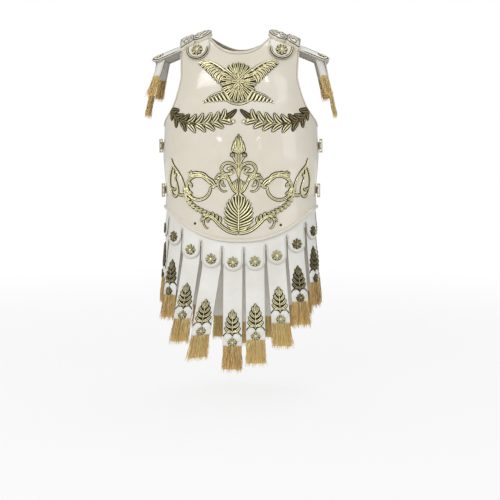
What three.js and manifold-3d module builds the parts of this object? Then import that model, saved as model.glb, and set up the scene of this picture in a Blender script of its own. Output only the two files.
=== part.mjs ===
// Muscle cuirass: an ivory breastplate and backplate with gilded relief, hinged at the shoulders,
// with leather tongue bands and fringed straps. Millimetres, +X to the viewer's right, -Y front, +Z up.
// The origin lies midway between the shoulders, level with their highest point.
import * as THREE from "three";
import { mergeVertices } from "three/addons/utils/BufferGeometryUtils.js";
import Module from "manifold-3d";

const wasm = await Module();
wasm.setup();

const torso = {
  chestHalfWidth: 203,
  frontDepth: 122,
  backDepth: 110,
  sideLength: 455,
  frontDip: 82,
  backDip: 50,
  flareRise: 37,
  wall: 2.6,
  seamGap: 0.8,
  shoulderHalfWidth: 149,
  shoulderRound: 150,
  armpitDepth: 240,
  neckHalfWidth: 82,
  neckFront: 100,
  neckBack: 72,
  slopeRound: 15,
  lipHeight: 5,
  lipWidth: 9,
  beadHeight: 2.2,
  beadWidth: 6,
  frontColumns: 26,
  frontRows: 18,
  backColumns: 20,
  backRows: 14,
};
const centreLength = torso.sideLength + torso.frontDip;
const backLength = torso.sideLength + torso.backDip;
const flareStart = torso.sideLength - torso.flareRise; // depth below which the plates widen steadily
const sectionPower = 2.4; // squareness of the plates seen from above
const capPower = 2.2; // squareness of the shoulders seen from the side
const shoulderSlopeShare = 0.42; // fall of the shoulder for each unit outwards
const flareShare = 0.079; // widening of the lower edge and the skirt for each unit down
const rimPower = 2.6; // how sharply the lower rim rises to the sides
// Each row: how far down the torso as a share of its length, then the size as a share of the chest's.
const widthShares = [[-0.2, 1], [0, 1], [0.44, 1], [0.57, 1.02], [0.7, 1], [0.78, 0.985], [0.9, 0.985]];
const frontShares = [[-0.2, 1], [0, 1], [0.24, 1], [0.5, 0.97], [0.7, 0.93], [0.78, 0.925], [0.9, 0.925]];
const backShares = [[-0.2, 1], [0, 1], [0.24, 1.02], [0.5, 0.93], [0.7, 0.84], [0.78, 0.85], [0.9, 0.85]];
// Armhole edge: share of the way up from armpit to shoulder end, then its place as a share of the half width.
const armholeShares = [
  [0, 1], [0.07, 0.975], [0.15, 0.915], [0.23, 0.86], [0.375, 0.798],
  [0.56, 0.744], [0.71, 0.744], [0.91, 0.755], [1, 0.734],
];

const muscle = {
  chestX: 78, chestZ: -140, chestHalfWidth: 88, chestHalfHeight: 94, chestRise: 10,
  bellyHalfWidth: 62, bellyTop: -262, bellyStep: 60, bellyRise: 4.5, bellyEdge: 16,
  ribX: 128, ribZ: -300, ribRadius: 52, ribRise: 4,
  flankX: 120, flankZ: -410, flankRadius: 46, flankRise: 4,
  bladeX: 82, bladeZ: -150, bladeHalfWidth: 66, bladeHalfHeight: 92, bladeRise: 9,
  spineHalfWidth: 22, spineDepth: 8, spineTop: -70, loinX: 46, loinZ: -360, loinRadius: 60, loinRise: 6,
  fadeDrop: 15,
};
const fadeShare = 0.16; // height over which the muscles fade towards the rim, as a share of the torso

const seat = 1.3; // clearance between a curved plate and what lies on it
const shoulderSeat = 1.3; // the same over the shoulders, which turn more sharply
const relief = { strandHeight: 4, leafHeight: 3.6, minWidth: 1.6, stepLength: 18, hollow: 1 };

const emblem = {
  centreZ: -129, radiusX: 46, radiusZ: 50, rise: 9, petals: 10, wingReach: 98, wingWidth: 13,
  wingTop: 50, wingBottom: 46, baseWidth: 74, feathers: 3, baseThickness: 6, lift: 0.5,
};
const laurel = {
  innerP: 5, outerP: 186, endZ: -203, sag: 32, leafLength: 27, leafWidth: 12, pairs: 6,
  stemWidth: 4, berryRadius: 5.5,
};
const leafLeanShare = 0.62; // how far a leaf leans off the stem, as a share of a right angle
const scroll = {
  halfWidth: 225, topZ: -258, rimGap: 19, strand: 7, fine: 5, ballRadius: 7.5, leafHalfWidth: 36,
};
const scrollHeight = centreLength + scroll.topZ - scroll.rimGap;

const skirt = {
  tongueLength: 75, tongueWidth: 51, tongueThickness: 2.4, slitDepth: 18, rosetteDepth: 54,
  bandRise: 34, strapWidth: 49, strapThickness: 2.4, plateGap: 0.8, layerGap: 0.6, pivotGap: 0.5,
  fringeLength: 70, fringeThickness: 9, rosetteRadius: 13, rosetteRise: 2.6, backPitch: 55,
};
// Tongue centres around the front from left to right, as shares of the half girth.
const tonguePlaceShares = [-0.893, -0.684, -0.474, -0.264, -0.055, 0.155, 0.365, 0.574, 0.8];
const splayDegrees = [-2, -4, -6.5, -7.7, 0, 0, 2.5, 2, 1];
// Height of the lower end of the leather of each front strap, below the shoulders.
const leatherEnds = [643, 684, 742, 781, 808, 792, 749, 697, 650];
const backLeatherEnds = [648, 694, 738, 772, 790, 772, 738, 694, 648];

const hinge = {
  y: 16, z: 4, knuckleRadius: 4.5, pinRadius: 2, bore: 2.3, x: 86, width: 26, knuckle: 10, runningGap: 0.6,
  leafEnd: 50, leafThickness: 2.4, pinHeadRadius: 3.4, pinHead: 1.8, armReach: 34, armHeight: 7, armRootZ: -2,
};
const guard = {
  lobeX: 97, lobeY: -28, lobeRadiusX: 23, lobeRadiusY: 23, lobeRise: 9,
  blockX: 134, blockY: -28, blockHalfX: 15, blockHalfY: 20, blockRise: 8, neckHalfY: 12,
};
const chestTongue = { x: 107, topZ: -30, tipZ: -70, halfWidth: 31, thickness: 3 };
const armTongue = {
  rootX: 130, tipX: 232, y: 26, halfWidth: 23, thickness: 2.4, strapGap: 0.5, rosetteX: 212,
};
// Ends of the two hinge lines under each shoulder tongue, as shares of its length and its half width.
const armStrapPlaceShares = [
  { from: [0.627, 0.826], to: [0.824, 0.261] },
  { from: [0.863, 0.13], to: [0.892, -0.783] },
];
const armStrap = { leather: [56, 98], thickness: 2.2, fringeLength: 62, fringeThickness: 8 };
const armStrapLeanDegrees = [26, 12];
const sideStrap = {
  heights: [290, 408], width: 20, thickness: 2.2, rootY: 52, endY: 27, rise: 4.4, rootGap: 1.5,
};
const loop = { startY: 10, deep: 12, slotHeight: 27, bar: 4.5, base: 1.2, slotThickness: 4.6, top: 2 };
const cutOverrun = 5;
const plain = { bevelEnabled: false, curveSegments: 5 };
const cutTolerance = 0.08; // slivers thinner than this are merged after a join or a cut

const lacquer = new THREE.MeshStandardMaterial({ color: "#e9e2d2", roughness: 0.22, metalness: 0 });
const leather = new THREE.MeshStandardMaterial({ color: "#e6e2da", roughness: 0.5, metalness: 0 });
const gilt = new THREE.MeshStandardMaterial({ color: "#a8954f", roughness: 0.32, metalness: 0.9 });
const steel = new THREE.MeshStandardMaterial({ color: "#b9b4a6", roughness: 0.35, metalness: 1 });

const clamp = THREE.MathUtils.clamp;
const smooth = THREE.MathUtils.smoothstep;
const bump = (distance, radius) => Math.exp(-((distance / radius) ** 2));
const range = (count) => [...Array(count).keys()];

// Turns a table of shares into a smooth function.
function tableCurve(shares) {
  const points = new THREE.SplineCurve(shares.map(([t, size]) => new THREE.Vector2(t, size))).getPoints(160);
  return (t) => {
    const next = points.findIndex((p) => p.x > t);
    if (next < 1) return next === 0 ? points[0].y : points.at(-1).y;
    const a = points[next - 1];
    const b = points[next];
    return THREE.MathUtils.mapLinear(t, a.x, b.x, a.y, b.y);
  };
}
const widthCurve = tableCurve(widthShares);
const armholeCurve = tableCurve(armholeShares);

// Below the waist both plates, and the skirt under them, widen at one steady rate.
function sizeAt(z, size, curve) {
  const down = Math.min(-z, flareStart);
  const flare = Math.max(-z - flareStart, 0) * flareShare;
  return size * curve(down / centreLength) + flare;
}
const halfWidthAt = (z) => sizeAt(z, torso.chestHalfWidth, widthCurve);
const superSine = (angle) => Math.sign(Math.sin(angle)) * Math.abs(Math.sin(angle)) ** (2 / sectionPower);
const superCosine = (angle) => Math.abs(Math.cos(angle)) ** (2 / sectionPower);
const sectionDepth = (share) => (1 - Math.min(Math.abs(share), 1) ** sectionPower) ** (1 / sectionPower);

function slopeDrop(x) {
  const out = Math.abs(x) - torso.neckHalfWidth;
  return (shoulderSlopeShare * (Math.hypot(out, torso.slopeRound) + out)) / 2;
}
function capShare(z) {
  const rise = clamp((z + torso.shoulderRound) / torso.shoulderRound, 0, 1);
  return (1 - rise ** capPower) ** (1 / capPower);
}
function capHeight(share) {
  return torso.shoulderRound * ((1 - clamp(share, 0, 1) ** capPower) ** (1 / capPower) - 1);
}

function chestMuscles(x, z) {
  const m = muscle;
  const side = Math.abs(x);
  const chest = Math.hypot((side - m.chestX) / m.chestHalfWidth, (z - m.chestZ) / m.chestHalfHeight);
  const columnEdge = 1 - smooth(side, m.bellyHalfWidth - m.bellyEdge, m.bellyHalfWidth);
  const column = smooth(side, 0, m.bellyEdge) * columnEdge;
  const row = Math.sin((Math.PI * (m.bellyTop - z)) / m.bellyStep) ** 2;
  const below = 1 - smooth(z, m.bellyTop - m.bellyEdge, m.bellyTop);
  const rib = bump(Math.hypot(side - m.ribX, z - m.ribZ), m.ribRadius);
  const flank = bump(Math.hypot(side - m.flankX, z - m.flankZ), m.flankRadius);
  return (
    m.chestRise * (1 - smooth(chest, 0.42, 1.06)) +
    (m.bellyRise * column * below * (1 + row)) / 2 +
    m.ribRise * rib +
    m.flankRise * flank
  );
}
function backMuscles(x, z) {
  const m = muscle;
  const side = Math.abs(x);
  const blade = Math.hypot((side - m.bladeX) / m.bladeHalfWidth, (z - m.bladeZ) / m.bladeHalfHeight);
  const spine = bump(side, m.spineHalfWidth) * (1 - smooth(z, m.spineTop * 2, m.spineTop));
  const loin = bump(Math.hypot(side - m.loinX, z - m.loinZ), m.loinRadius);
  return m.bladeRise * (1 - smooth(blade, 0.45, 1.05)) - m.spineDepth * spine + m.loinRise * loin;
}

const halves = {
  front: {
    sign: -1, muscles: chestMuscles, curve: tableCurve(frontShares), neck: torso.neckFront,
    depth: torso.frontDepth, length: centreLength, columns: torso.frontColumns, rows: torso.frontRows,
  },
  back: {
    sign: 1, muscles: backMuscles, curve: tableCurve(backShares), neck: torso.neckBack,
    depth: torso.backDepth, length: backLength, columns: torso.backColumns, rows: torso.backRows,
  },
};
const depthAt = (half, z) => sizeAt(z, half.depth, half.curve);

// How far the plate's outer face stands from the seam plane at a place seen from the front.
function standOff(half, x, z) {
  const share = x / halfWidthAt(z);
  const cap = capShare(z + slopeDrop(x));
  const fadeEnd = -torso.sideLength - muscle.fadeDrop;
  const fade = smooth(z, fadeEnd, fadeEnd + fadeShare * centreLength);
  const swell = half.muscles(x, z) * fade * (1 - Math.min(Math.abs(share), 1) ** 6) * smooth(cap, 0, 0.8);
  return depthAt(half, z) * cap * sectionDepth(share) + swell + torso.seamGap / 2;
}
function rimHeight(half, turn) {
  const dip = half.length - torso.sideLength;
  return -torso.sideLength - dip * Math.cos((turn * Math.PI) / 2) ** rimPower;
}
function topHeight(half, x) {
  if (Math.abs(x) >= torso.neckHalfWidth) return -slopeDrop(x);
  const edge = half.neck * Math.sqrt(1 - (x / torso.neckHalfWidth) ** 2);
  return capHeight(edge / (half.depth * sectionDepth(x / torso.chestHalfWidth))) - slopeDrop(x);
}
const angleOf = (share) => Math.asin(clamp(share, 0, 1) ** (sectionPower / 2));
const shoulderEnd = -slopeDrop(torso.shoulderHalfWidth);

// Rows crowd together near the shoulder ridge, where the surface turns over.
const climb = (v) => (v < 0.6 ? v * 1.28 : 0.768 + 0.232 * Math.sin(((v - 0.6) / 0.4) * (Math.PI / 2)));

function plateAngle(g) {
  const z = THREE.MathUtils.lerp(-torso.sideLength, shoulderEnd, g);
  const up = (z + torso.armpitDepth) / (shoulderEnd + torso.armpitDepth);
  return up <= 0 ? Math.PI / 2 : angleOf(armholeCurve(up));
}
// A place on the outer face: turn runs from -1 to 1 across, g from 0 at the rim to 1 at the top.
function platePoint(half, turn, g) {
  const topX = torso.chestHalfWidth * superSine(turn * plateAngle(1));
  const z = THREE.MathUtils.lerp(rimHeight(half, turn), topHeight(half, topX), g);
  const x = halfWidthAt(z) * superSine(turn * plateAngle(g));
  const atSeam = g < 1 || Math.abs(topX) < torso.neckHalfWidth ? standOff(half, x, z) : torso.seamGap / 2;
  return new THREE.Vector3(x, half.sign * atSeam, z);
}
function plateNormal(half, turn, g) {
  const step = 0.002;
  const before = platePoint(half, Math.max(turn - step, -1), g);
  const across = platePoint(half, Math.min(turn + step, 1), g).sub(before);
  const up = platePoint(half, turn, Math.min(g + step, 1)).sub(platePoint(half, turn, Math.max(g - step, 0)));
  return across.cross(up).multiplyScalar(-half.sign).normalize();
}

// A closed sheet between an outer and an inner grid of points; cells can be left out to make slits.
function sheetSolid(columns, rows, outer, inner, flip = false, filled = () => true) {
  const position = [];
  const index = [];
  const at = (i, j, face) => 2 * (j * (columns + 1) + i) + face;
  for (const j of range(rows + 1))
    for (const i of range(columns + 1)) position.push(...outer(i, j), ...inner(i, j));
  const quad = (a, b, c, d) => index.push(...(flip ? [a, c, b, a, d, c] : [a, b, c, a, c, d]));
  const open = (i, j) => i < 0 || j < 0 || i >= columns || j >= rows || !filled(i, j);
  for (const j of range(rows))
    for (const i of range(columns)) {
      if (open(i, j)) continue;
      quad(at(i, j, 0), at(i + 1, j, 0), at(i + 1, j + 1, 0), at(i, j + 1, 0));
      quad(at(i, j, 1), at(i, j + 1, 1), at(i + 1, j + 1, 1), at(i + 1, j, 1));
      if (open(i, j - 1)) quad(at(i, j, 1), at(i + 1, j, 1), at(i + 1, j, 0), at(i, j, 0));
      if (open(i, j + 1)) quad(at(i + 1, j + 1, 1), at(i, j + 1, 1), at(i, j + 1, 0), at(i + 1, j + 1, 0));
      if (open(i - 1, j)) quad(at(i, j + 1, 1), at(i, j, 1), at(i, j, 0), at(i, j + 1, 0));
      if (open(i + 1, j)) quad(at(i + 1, j, 1), at(i + 1, j + 1, 1), at(i + 1, j + 1, 0), at(i + 1, j, 0));
    }
  const geometry = new THREE.BufferGeometry();
  geometry.setAttribute("position", new THREE.Float32BufferAttribute(position, 3));
  geometry.setIndex(index);
  return geometry;
}

// The same surface with only its positions, and each corner held once.
function welded(geometry) {
  const bare = geometry.clone();
  bare.deleteAttribute("normal");
  bare.deleteAttribute("uv");
  return mergeVertices(bare);
}
// Turns a closed surface the right way out.
function faceOut(source) {
  const geometry = welded(source);
  const p = geometry.attributes.position;
  const index = geometry.index.array;
  const [a, b, c] = [new THREE.Vector3(), new THREE.Vector3(), new THREE.Vector3()];
  let volume = 0;
  for (let i = 0; i < index.length; i += 3) {
    a.fromBufferAttribute(p, index[i]);
    b.fromBufferAttribute(p, index[i + 1]);
    c.fromBufferAttribute(p, index[i + 2]);
    volume += a.dot(b.cross(c));
  }
  if (volume < 0) geometry.setIndex([...index].reverse());
  return geometry;
}

function toSolid(geometry) {
  const merged = faceOut(geometry);
  const vertProperties = Float32Array.from(merged.attributes.position.array);
  const triVerts = Uint32Array.from(merged.index.array);
  return new wasm.Manifold(new wasm.Mesh({ numProp: 3, vertProperties, triVerts }));
}
function toGeometry(solid) {
  const mesh = solid.setTolerance(cutTolerance).getMesh();
  const geometry = new THREE.BufferGeometry();
  geometry.setAttribute("position", new THREE.BufferAttribute(mesh.vertProperties, 3));
  geometry.setIndex(new THREE.BufferAttribute(mesh.triVerts, 1));
  return geometry;
}
const join = (geometries) => toGeometry(geometries.map(toSolid).reduce((sum, next) => sum.add(next)));
const cut = (geometry, tool) => toGeometry(toSolid(geometry).subtract(toSolid(tool)));

function plateGeometry(half) {
  const { columns, rows, sign } = half;
  const edge = torso.lipWidth / centreLength;
  const gs = [0, edge * 0.25, edge * 0.8, edge * 1.15];
  for (const j of range(rows)) gs.push(THREE.MathUtils.lerp(gs[3], 1, climb((j + 1) / rows)));
  const turns = range(columns + 1).map((i) => (2 * i) / columns - 1);
  turns.splice(1, 0, -1 + 1 / columns / 2);
  turns.splice(-1, 0, 1 - 1 / columns / 2);
  const lip = (g) => torso.lipHeight * (1 - smooth(g, edge * 0.8, edge * 1.15));
  const bead = (turn, g) => {
    const fromTop = (1 - g) * centreLength;
    const fromSide = (1 - Math.abs(turn)) * torso.chestHalfWidth;
    const besideArmhole = plateAngle(g) < Math.PI / 2 - 0.01 && g < 0.93;
    const onArmhole = besideArmhole ? 1 - smooth(fromSide, 0, torso.beadWidth / 2) : 0;
    const topX = torso.chestHalfWidth * superSine(turn * plateAngle(1));
    const onNeck = Math.abs(topX) < torso.neckHalfWidth ? 1 - smooth(fromTop, 0, torso.beadWidth) : 0;
    return torso.beadHeight * Math.max(onArmhole, onNeck);
  };
  const face = (offset) => (i, j) => {
    const point = platePoint(half, turns[i], gs[j]);
    return point.addScaledVector(plateNormal(half, turns[i], gs[j]), offset(turns[i], gs[j]));
  };
  const outer = face((turn, g) => lip(g) + bead(turn, g));
  const inner = face(() => -torso.wall);
  return sheetSolid(turns.length - 1, gs.length - 1, outer, inner, sign > 0);
}

// Length around the lower section, so that pieces keep their width as they go round the hips.
function girthTable(half) {
  const angles = range(181).map((i) => (i * Math.PI) / 360);
  const at = (angle) => {
    const z = -torso.sideLength;
    return new THREE.Vector2(halfWidthAt(z) * superSine(angle), depthAt(half, z) * superCosine(angle));
  };
  let length = 0;
  const table = angles.map((angle, i) => {
    if (i) length += at(angle).distanceTo(at(angles[i - 1]));
    return { angle, length };
  });
  return { table, length };
}
for (const half of Object.values(halves)) half.girth = girthTable(half);

function angleAtArc(half, p) {
  const { table } = half.girth;
  const next = table.findIndex((entry) => entry.length >= Math.abs(p));
  if (next < 1) return next === 0 ? 0 : (Math.sign(p) * Math.PI) / 2;
  const a = table[next - 1];
  const b = table[next];
  return Math.sign(p) * THREE.MathUtils.mapLinear(Math.abs(p), a.length, b.length, a.angle, b.angle);
}
// A place on the flared surface that the plate's lower part and the skirt share.
function skirtPoint(half, p, z, inset) {
  const angle = angleAtArc(half, p);
  const x = (halfWidthAt(z) - inset) * superSine(angle);
  const y = (depthAt(half, z) - inset) * superCosine(angle) + torso.seamGap / 2;
  return new THREE.Vector3(x, half.sign * y, z);
}
const rimAtArc = (half, p) => rimHeight(half, angleAtArc(half, p) / (Math.PI / 2));

const plates = {};
for (const [name, half] of Object.entries(halves)) {
  plates[name] = new THREE.Mesh(faceOut(plateGeometry(half)));
}

// Where a straight line first meets one of the plates.
const probe = new THREE.Raycaster();
function meet(from, direction, meshes) {
  probe.set(from, direction);
  const [hit] = probe.intersectObjects(meshes);
  return hit?.point;
}
// A place on the breastplate seen straight from the front, raised by a height along its normal.
function onFrontFace(x, z, height) {
  const half = halves.front;
  const step = 0.5;
  const slopeX = (standOff(half, x + step, z) - standOff(half, x - step, z)) / (2 * step);
  const slopeZ = (standOff(half, x, z + step) - standOff(half, x, z - step)) / (2 * step);
  const normal = new THREE.Vector3(-slopeX, -1, -slopeZ).normalize();
  const before = new THREE.Vector3(x, -2 * half.depth, z);
  const face = meet(before, new THREE.Vector3(0, 1, 0), [plates.front]);
  return (face ?? before.setY(-standOff(half, x, z))).addScaledVector(normal, height);
}
// The same place, told by its distance round the front instead.
function onChest(p, z, height) {
  return onFrontFace(halfWidthAt(z) * superSine(angleAtArc(halves.front, p)), z, height);
}

// A place on top of the shoulders, raised by a height along its normal.
function shoulderHeight(x, y) {
  const half = y < 0 ? halves.front : halves.back;
  const inner = Math.min(Math.abs(x), torso.shoulderHalfWidth);
  return capHeight(Math.abs(y) / (half.depth * sectionDepth(inner / torso.chestHalfWidth))) - slopeDrop(x);
}
function onShoulder(x, y, height) {
  const step = 0.5;
  const slopeX = (shoulderHeight(x + step, y) - shoulderHeight(x - step, y)) / (2 * step);
  const slopeY = (shoulderHeight(x, y + step) - shoulderHeight(x, y - step)) / (2 * step);
  const normal = new THREE.Vector3(-slopeX, -slopeY, 1).normalize();
  const above = new THREE.Vector3(x, y, torso.shoulderRound);
  const face = meet(above, new THREE.Vector3(0, 0, -1), [plates.front, plates.back]);
  const z = Math.max(shoulderHeight(x, y), face && face.z > -torso.shoulderRound ? face.z : -centreLength);
  return above.setZ(z).addScaledVector(normal, height);
}

// A raised strand along a curve on a surface: wide sharp-backed leaves and round-backed stems alike.
function strand(place, points, width, height, sides = 3, tipShare = 0.25) {
  const curve = new THREE.SplineCurve(points.map(([a, b]) => new THREE.Vector2(a, b)));
  const steps = Math.max(Math.ceil(curve.getLength() / relief.stepLength), points.length);
  const crossShares = sides === 3 ? [[-1, 0], [1, 0], [0, 1]] : [[-1, 0], [1, 0], [0.5, 1], [-0.5, 1]];
  const position = [];
  const index = [];
  for (const i of range(steps + 1)) {
    const t = i / steps;
    const at = curve.getPoint(t);
    const along = curve.getTangent(t);
    const swell = tipShare + (1 - tipShare) * Math.sin(Math.PI * clamp(t, 0.04, 0.96)) ** 0.7;
    const halfWide = Math.max((width * swell) / 2, relief.minWidth / 2);
    for (const [side, up] of crossShares) {
      const a = at.x - along.y * side * halfWide;
      const b = at.y + along.x * side * halfWide;
      position.push(...place(a, b, seat + up * height * (0.5 + swell / 2)));
    }
  }
  for (const i of range(steps))
    for (const k of range(sides)) {
      const a = i * sides + k;
      const b = i * sides + ((k + 1) % sides);
      index.push(a, b, b + sides, a, b + sides, a + sides);
    }
  const last = steps * sides;
  for (const k of range(sides - 2)) {
    index.push(0, k + 2, k + 1);
    index.push(last, last + k + 1, last + k + 2);
  }
  const geometry = new THREE.BufferGeometry();
  geometry.setAttribute("position", new THREE.Float32BufferAttribute(position, 3));
  geometry.setIndex(index);
  return geometry;
}

// A round raised boss on a surface; rise gives its height at a share of the radius and an angle.
function boss(place, a, b, radiusA, radiusB, ringShares, segments, rise, base = seat) {
  const position = [...place(a, b, rise(0, 0)), ...place(a, b, base + relief.hollow)];
  const index = [];
  const at = (ring, k, face) => 2 + 2 * (ring * segments + (k % segments)) + face;
  for (const share of ringShares)
    for (const k of range(segments)) {
      const turn = (2 * Math.PI * k) / segments;
      const u = a + radiusA * share * Math.cos(turn);
      const w = b + radiusB * share * Math.sin(turn);
      const under = share < 1 ? base + relief.hollow : base;
      position.push(...place(u, w, rise(share, turn)), ...place(u, w, under));
    }
  for (const k of range(segments)) {
    index.push(0, at(0, k, 0), at(0, k + 1, 0), 1, at(0, k + 1, 1), at(0, k, 1));
    for (const ring of range(ringShares.length - 1)) {
      const [n, m] = [ring, ring + 1];
      index.push(at(n, k, 0), at(m, k, 0), at(m, k + 1, 0), at(n, k, 0), at(m, k + 1, 0), at(n, k + 1, 0));
      index.push(at(n, k, 1), at(m, k + 1, 1), at(m, k, 1), at(n, k, 1), at(n, k + 1, 1), at(m, k + 1, 1));
    }
    const rim = ringShares.length - 1;
    index.push(at(rim, k, 0), at(rim, k, 1), at(rim, k + 1, 1));
    index.push(at(rim, k, 0), at(rim, k + 1, 1), at(rim, k + 1, 0));
  }
  const geometry = new THREE.BufferGeometry();
  geometry.setAttribute("position", new THREE.Float32BufferAttribute(position, 3));
  geometry.setIndex(index);
  return geometry;
}

function emblemGeometry() {
  const e = emblem;
  const onEmblem = (p, z, height) => onChest(p, z, height + e.lift);
  const petal = (share, turn) => {
    const tier = share < 0.45 ? 1 - share * 0.5 : 0.85 - 0.6 * share;
    const lobes = 1 + 0.22 * Math.cos(e.petals * turn) * smooth(share, 0.3, 0.6);
    return seat + e.rise * Math.max(tier * lobes, 0.15);
  };
  const parts = [boss(onEmblem, 0, e.centreZ, e.radiusX, e.radiusZ, [0.3, 0.5, 0.8, 1], 2 * e.petals, petal)];
  for (const side of [-1, 1]) {
    for (const k of range(e.feathers)) {
      const share = k / (e.feathers - 1);
      const reach = e.wingReach * (1 - 0.42 * share);
      const root = [side * e.radiusX * 0.5, e.centreZ + e.radiusZ * (0.45 - 0.5 * share)];
      const bend = [side * reach * 0.72, e.centreZ + e.wingTop * (0.82 - 0.62 * share)];
      const tip = [side * reach, e.centreZ + e.wingTop * (1 - 0.6 * share)];
      parts.push(strand(onEmblem, [root, bend, tip], e.wingWidth, relief.leafHeight));
      const lowRoot = [side * e.radiusX * 0.45, e.centreZ - e.radiusZ * (0.75 - 0.4 * share)];
      const lowBend = [side * reach * 0.7, e.centreZ - e.wingBottom * (0.95 - 0.4 * share)];
      const lowTip = [side * reach * 0.94, e.centreZ - e.wingBottom * (1 - 0.42 * share)];
      parts.push(strand(onEmblem, [lowRoot, lowBend, lowTip], e.wingWidth * 0.8, relief.leafHeight));
    }
  }
  const baseZ = e.centreZ - e.radiusZ * 0.97;
  const base = [[-e.baseWidth / 2, baseZ], [0, baseZ], [e.baseWidth / 2, baseZ]];
  parts.push(strand(onEmblem, base, e.baseThickness, relief.leafHeight));
  return join(parts);
}

function laurelGeometry(side) {
  const l = laurel;
  const stemAt = (t) => {
    const p = THREE.MathUtils.lerp(l.outerP, l.innerP, t);
    return new THREE.Vector2(side * p, l.endZ - l.sag * Math.sin(Math.PI * t ** 0.8));
  };
  const stem = range(7).map((i) => stemAt(i / 6).toArray());
  const parts = [strand(onChest, stem, l.stemWidth, relief.leafHeight / 2)];
  for (const k of range(l.pairs)) {
    const t = (k + 0.35) / (l.pairs + 0.4);
    const root = stemAt(t);
    const along = stemAt(t + 0.03).sub(root).normalize();
    for (const lean of [-1, 1]) {
      const turn = (lean * leafLeanShare * Math.PI) / 4;
      const out = along.clone().rotateAround(new THREE.Vector2(), turn);
      const tip = root.clone().addScaledVector(out, l.leafLength);
      const bend = root.clone().lerp(tip, 0.5).addScaledVector(along, -l.leafWidth * 0.12);
      parts.push(strand(onChest, [root, bend, tip].map((v) => v.toArray()), l.leafWidth, relief.leafHeight));
    }
  }
  const dome = (share) => seat + l.berryRadius * Math.sqrt(1 - 0.9 * share ** 2);
  for (const t of [0.86, 0.93]) {
    const root = stemAt(t);
    const berryZ = root.y - l.berryRadius * 1.1;
    parts.push(boss(onChest, root.x, berryZ, l.berryRadius, l.berryRadius, [0.7, 1], 6, dome));
  }
  return join(parts);
}

// Strands of the waist scrollwork on one side, as shares of its half width and height from the top middle.
const scrollShares = [
  { points: [[-0.015, 0.195], [0.062, 0.11], [-0.006, 0.012]], size: 1.3 },
  { points: [[-0.012, 0.3], [0.04, 0.25], [0.071, 0.215]], size: 0.8 },
  { points: [[-0.014, 0.42], [0.05, 0.33], [0.13, 0.275], [0.21, 0.33], [0.19, 0.4], [0.11, 0.39]], size: 1 },
  { points: [[-0.013, 0.605], [0.09, 0.56], [0.15, 0.47], [0.185, 0.42]], size: 1.5 },
  { points: [[-0.016, 0.592], [0.11, 0.5], [0.2, 0.44], [0.262, 0.48], [0.25, 0.56]], size: 1.3 },
  { points: [[0.24, 0.47], [0.3, 0.52], [0.4, 0.44], [0.52, 0.43]], size: 1.3 },
  {
    points: [[0.31, 0.5], [0.325, 0.57], [0.39, 0.65], [0.48, 0.665], [0.57, 0.61],
      [0.605, 0.52], [0.56, 0.44], [0.47, 0.41], [0.4, 0.44]],
    size: 1.1,
  },
  { points: [[0.58, 0.58], [0.65, 0.6], [0.75, 0.5], [0.86, 0.42], [0.97, 0.36]], size: 1.2 },
  { points: [[0.95, 0.37], [0.985, 0.5], [0.95, 0.64], [0.88, 0.69], [0.8, 0.62], [0.76, 0.51]], size: 1.1 },
  {
    points: [[0.62, 0.58], [0.6, 0.68], [0.5, 0.77], [0.37, 0.8], [0.28, 0.86], [0.14, 0.96], [-0.02, 0.987]],
    size: 1.7,
  },
  { points: [[0.28, 0.86], [0.36, 0.83], [0.43, 0.87], [0.42, 0.94], [0.38, 0.95]], size: 1.2 },
  { points: [[-0.011, 0.968], [0.1, 0.9], [0.165, 0.76]], size: 1.4 },
  { points: [[-0.012, 0.931], [0.09, 0.84], [0.135, 0.7]], size: 1.3 },
  { points: [[-0.013, 0.872], [0.07, 0.77], [0.09, 0.65]], size: 1.2 },
];

function scrollGeometry() {
  const s = scroll;
  const parts = [];
  const size = (share) => share * s.strand;
  for (const side of [-1, 1])
    for (const { points, size: share } of scrollShares) {
      const path = points.map(([a, b]) => [side * a * s.halfWidth, s.topZ - b * scrollHeight]);
      parts.push(strand(onChest, path, size(share), relief.strandHeight));
    }
  const middle = (from, to) => [from, (from + to) / 2, to].map((share) => [0, s.topZ - share * scrollHeight]);
  parts.push(strand(onChest, middle(0, 0.2), s.strand * 1.6, relief.strandHeight * 1.2));
  parts.push(strand(onChest, middle(0.18, 0.64), s.fine, relief.strandHeight, 3, 1));
  parts.push(strand(onChest, middle(0.62, 0.99), s.leafHalfWidth * 1.3, relief.leafHeight * 0.7, 4));
  parts.push(strand(onChest, middle(0.62, 0.99), s.fine, relief.strandHeight * 1.2));
  const dome = (share) => seat + s.ballRadius * Math.sqrt(1 - 0.9 * share ** 2);
  for (const side of [-1, 1]) {
    const [p, z] = [side * 0.071 * s.halfWidth, s.topZ - 0.212 * scrollHeight];
    parts.push(boss(onChest, p, z, s.ballRadius, s.ballRadius, [0.7, 1], 6, dome));
  }
  return join(parts);
}

function rosette(place, a, b, radius, riseHeight) {
  const petals = (share) => seat + riseHeight * (1 - 0.35 * share);
  return boss(place, a, b, radius, radius, [1], 6, petals);
}

// Where each tongue and strap hangs: place round the hips, hinge height and hinge line.
function skirtPlaces(half) {
  const isFront = half === halves.front;
  const count = tonguePlaceShares.length;
  return range(count).map((k) => {
    const p = isFront ? tonguePlaceShares[k] * half.girth.length : (k - (count - 1) / 2) * skirt.backPitch;
    const tipZ = rimAtArc(half, p) - skirt.tongueLength;
    const pivotZ = tipZ - skirt.pivotGap;
    const splay = isFront ? THREE.MathUtils.degToRad(splayDegrees[k]) : 0;
    const end = -(isFront ? leatherEnds : backLeatherEnds)[k];
    return { p, tipZ, pivotZ, splay, end };
  });
}
const tongueAcrossShares = [-0.5, -0.25, 0, 0.25, 0.5];
const tongueInset = torso.wall + skirt.plateGap;
const strapInset = tongueInset + skirt.tongueThickness + skirt.layerGap;

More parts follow.
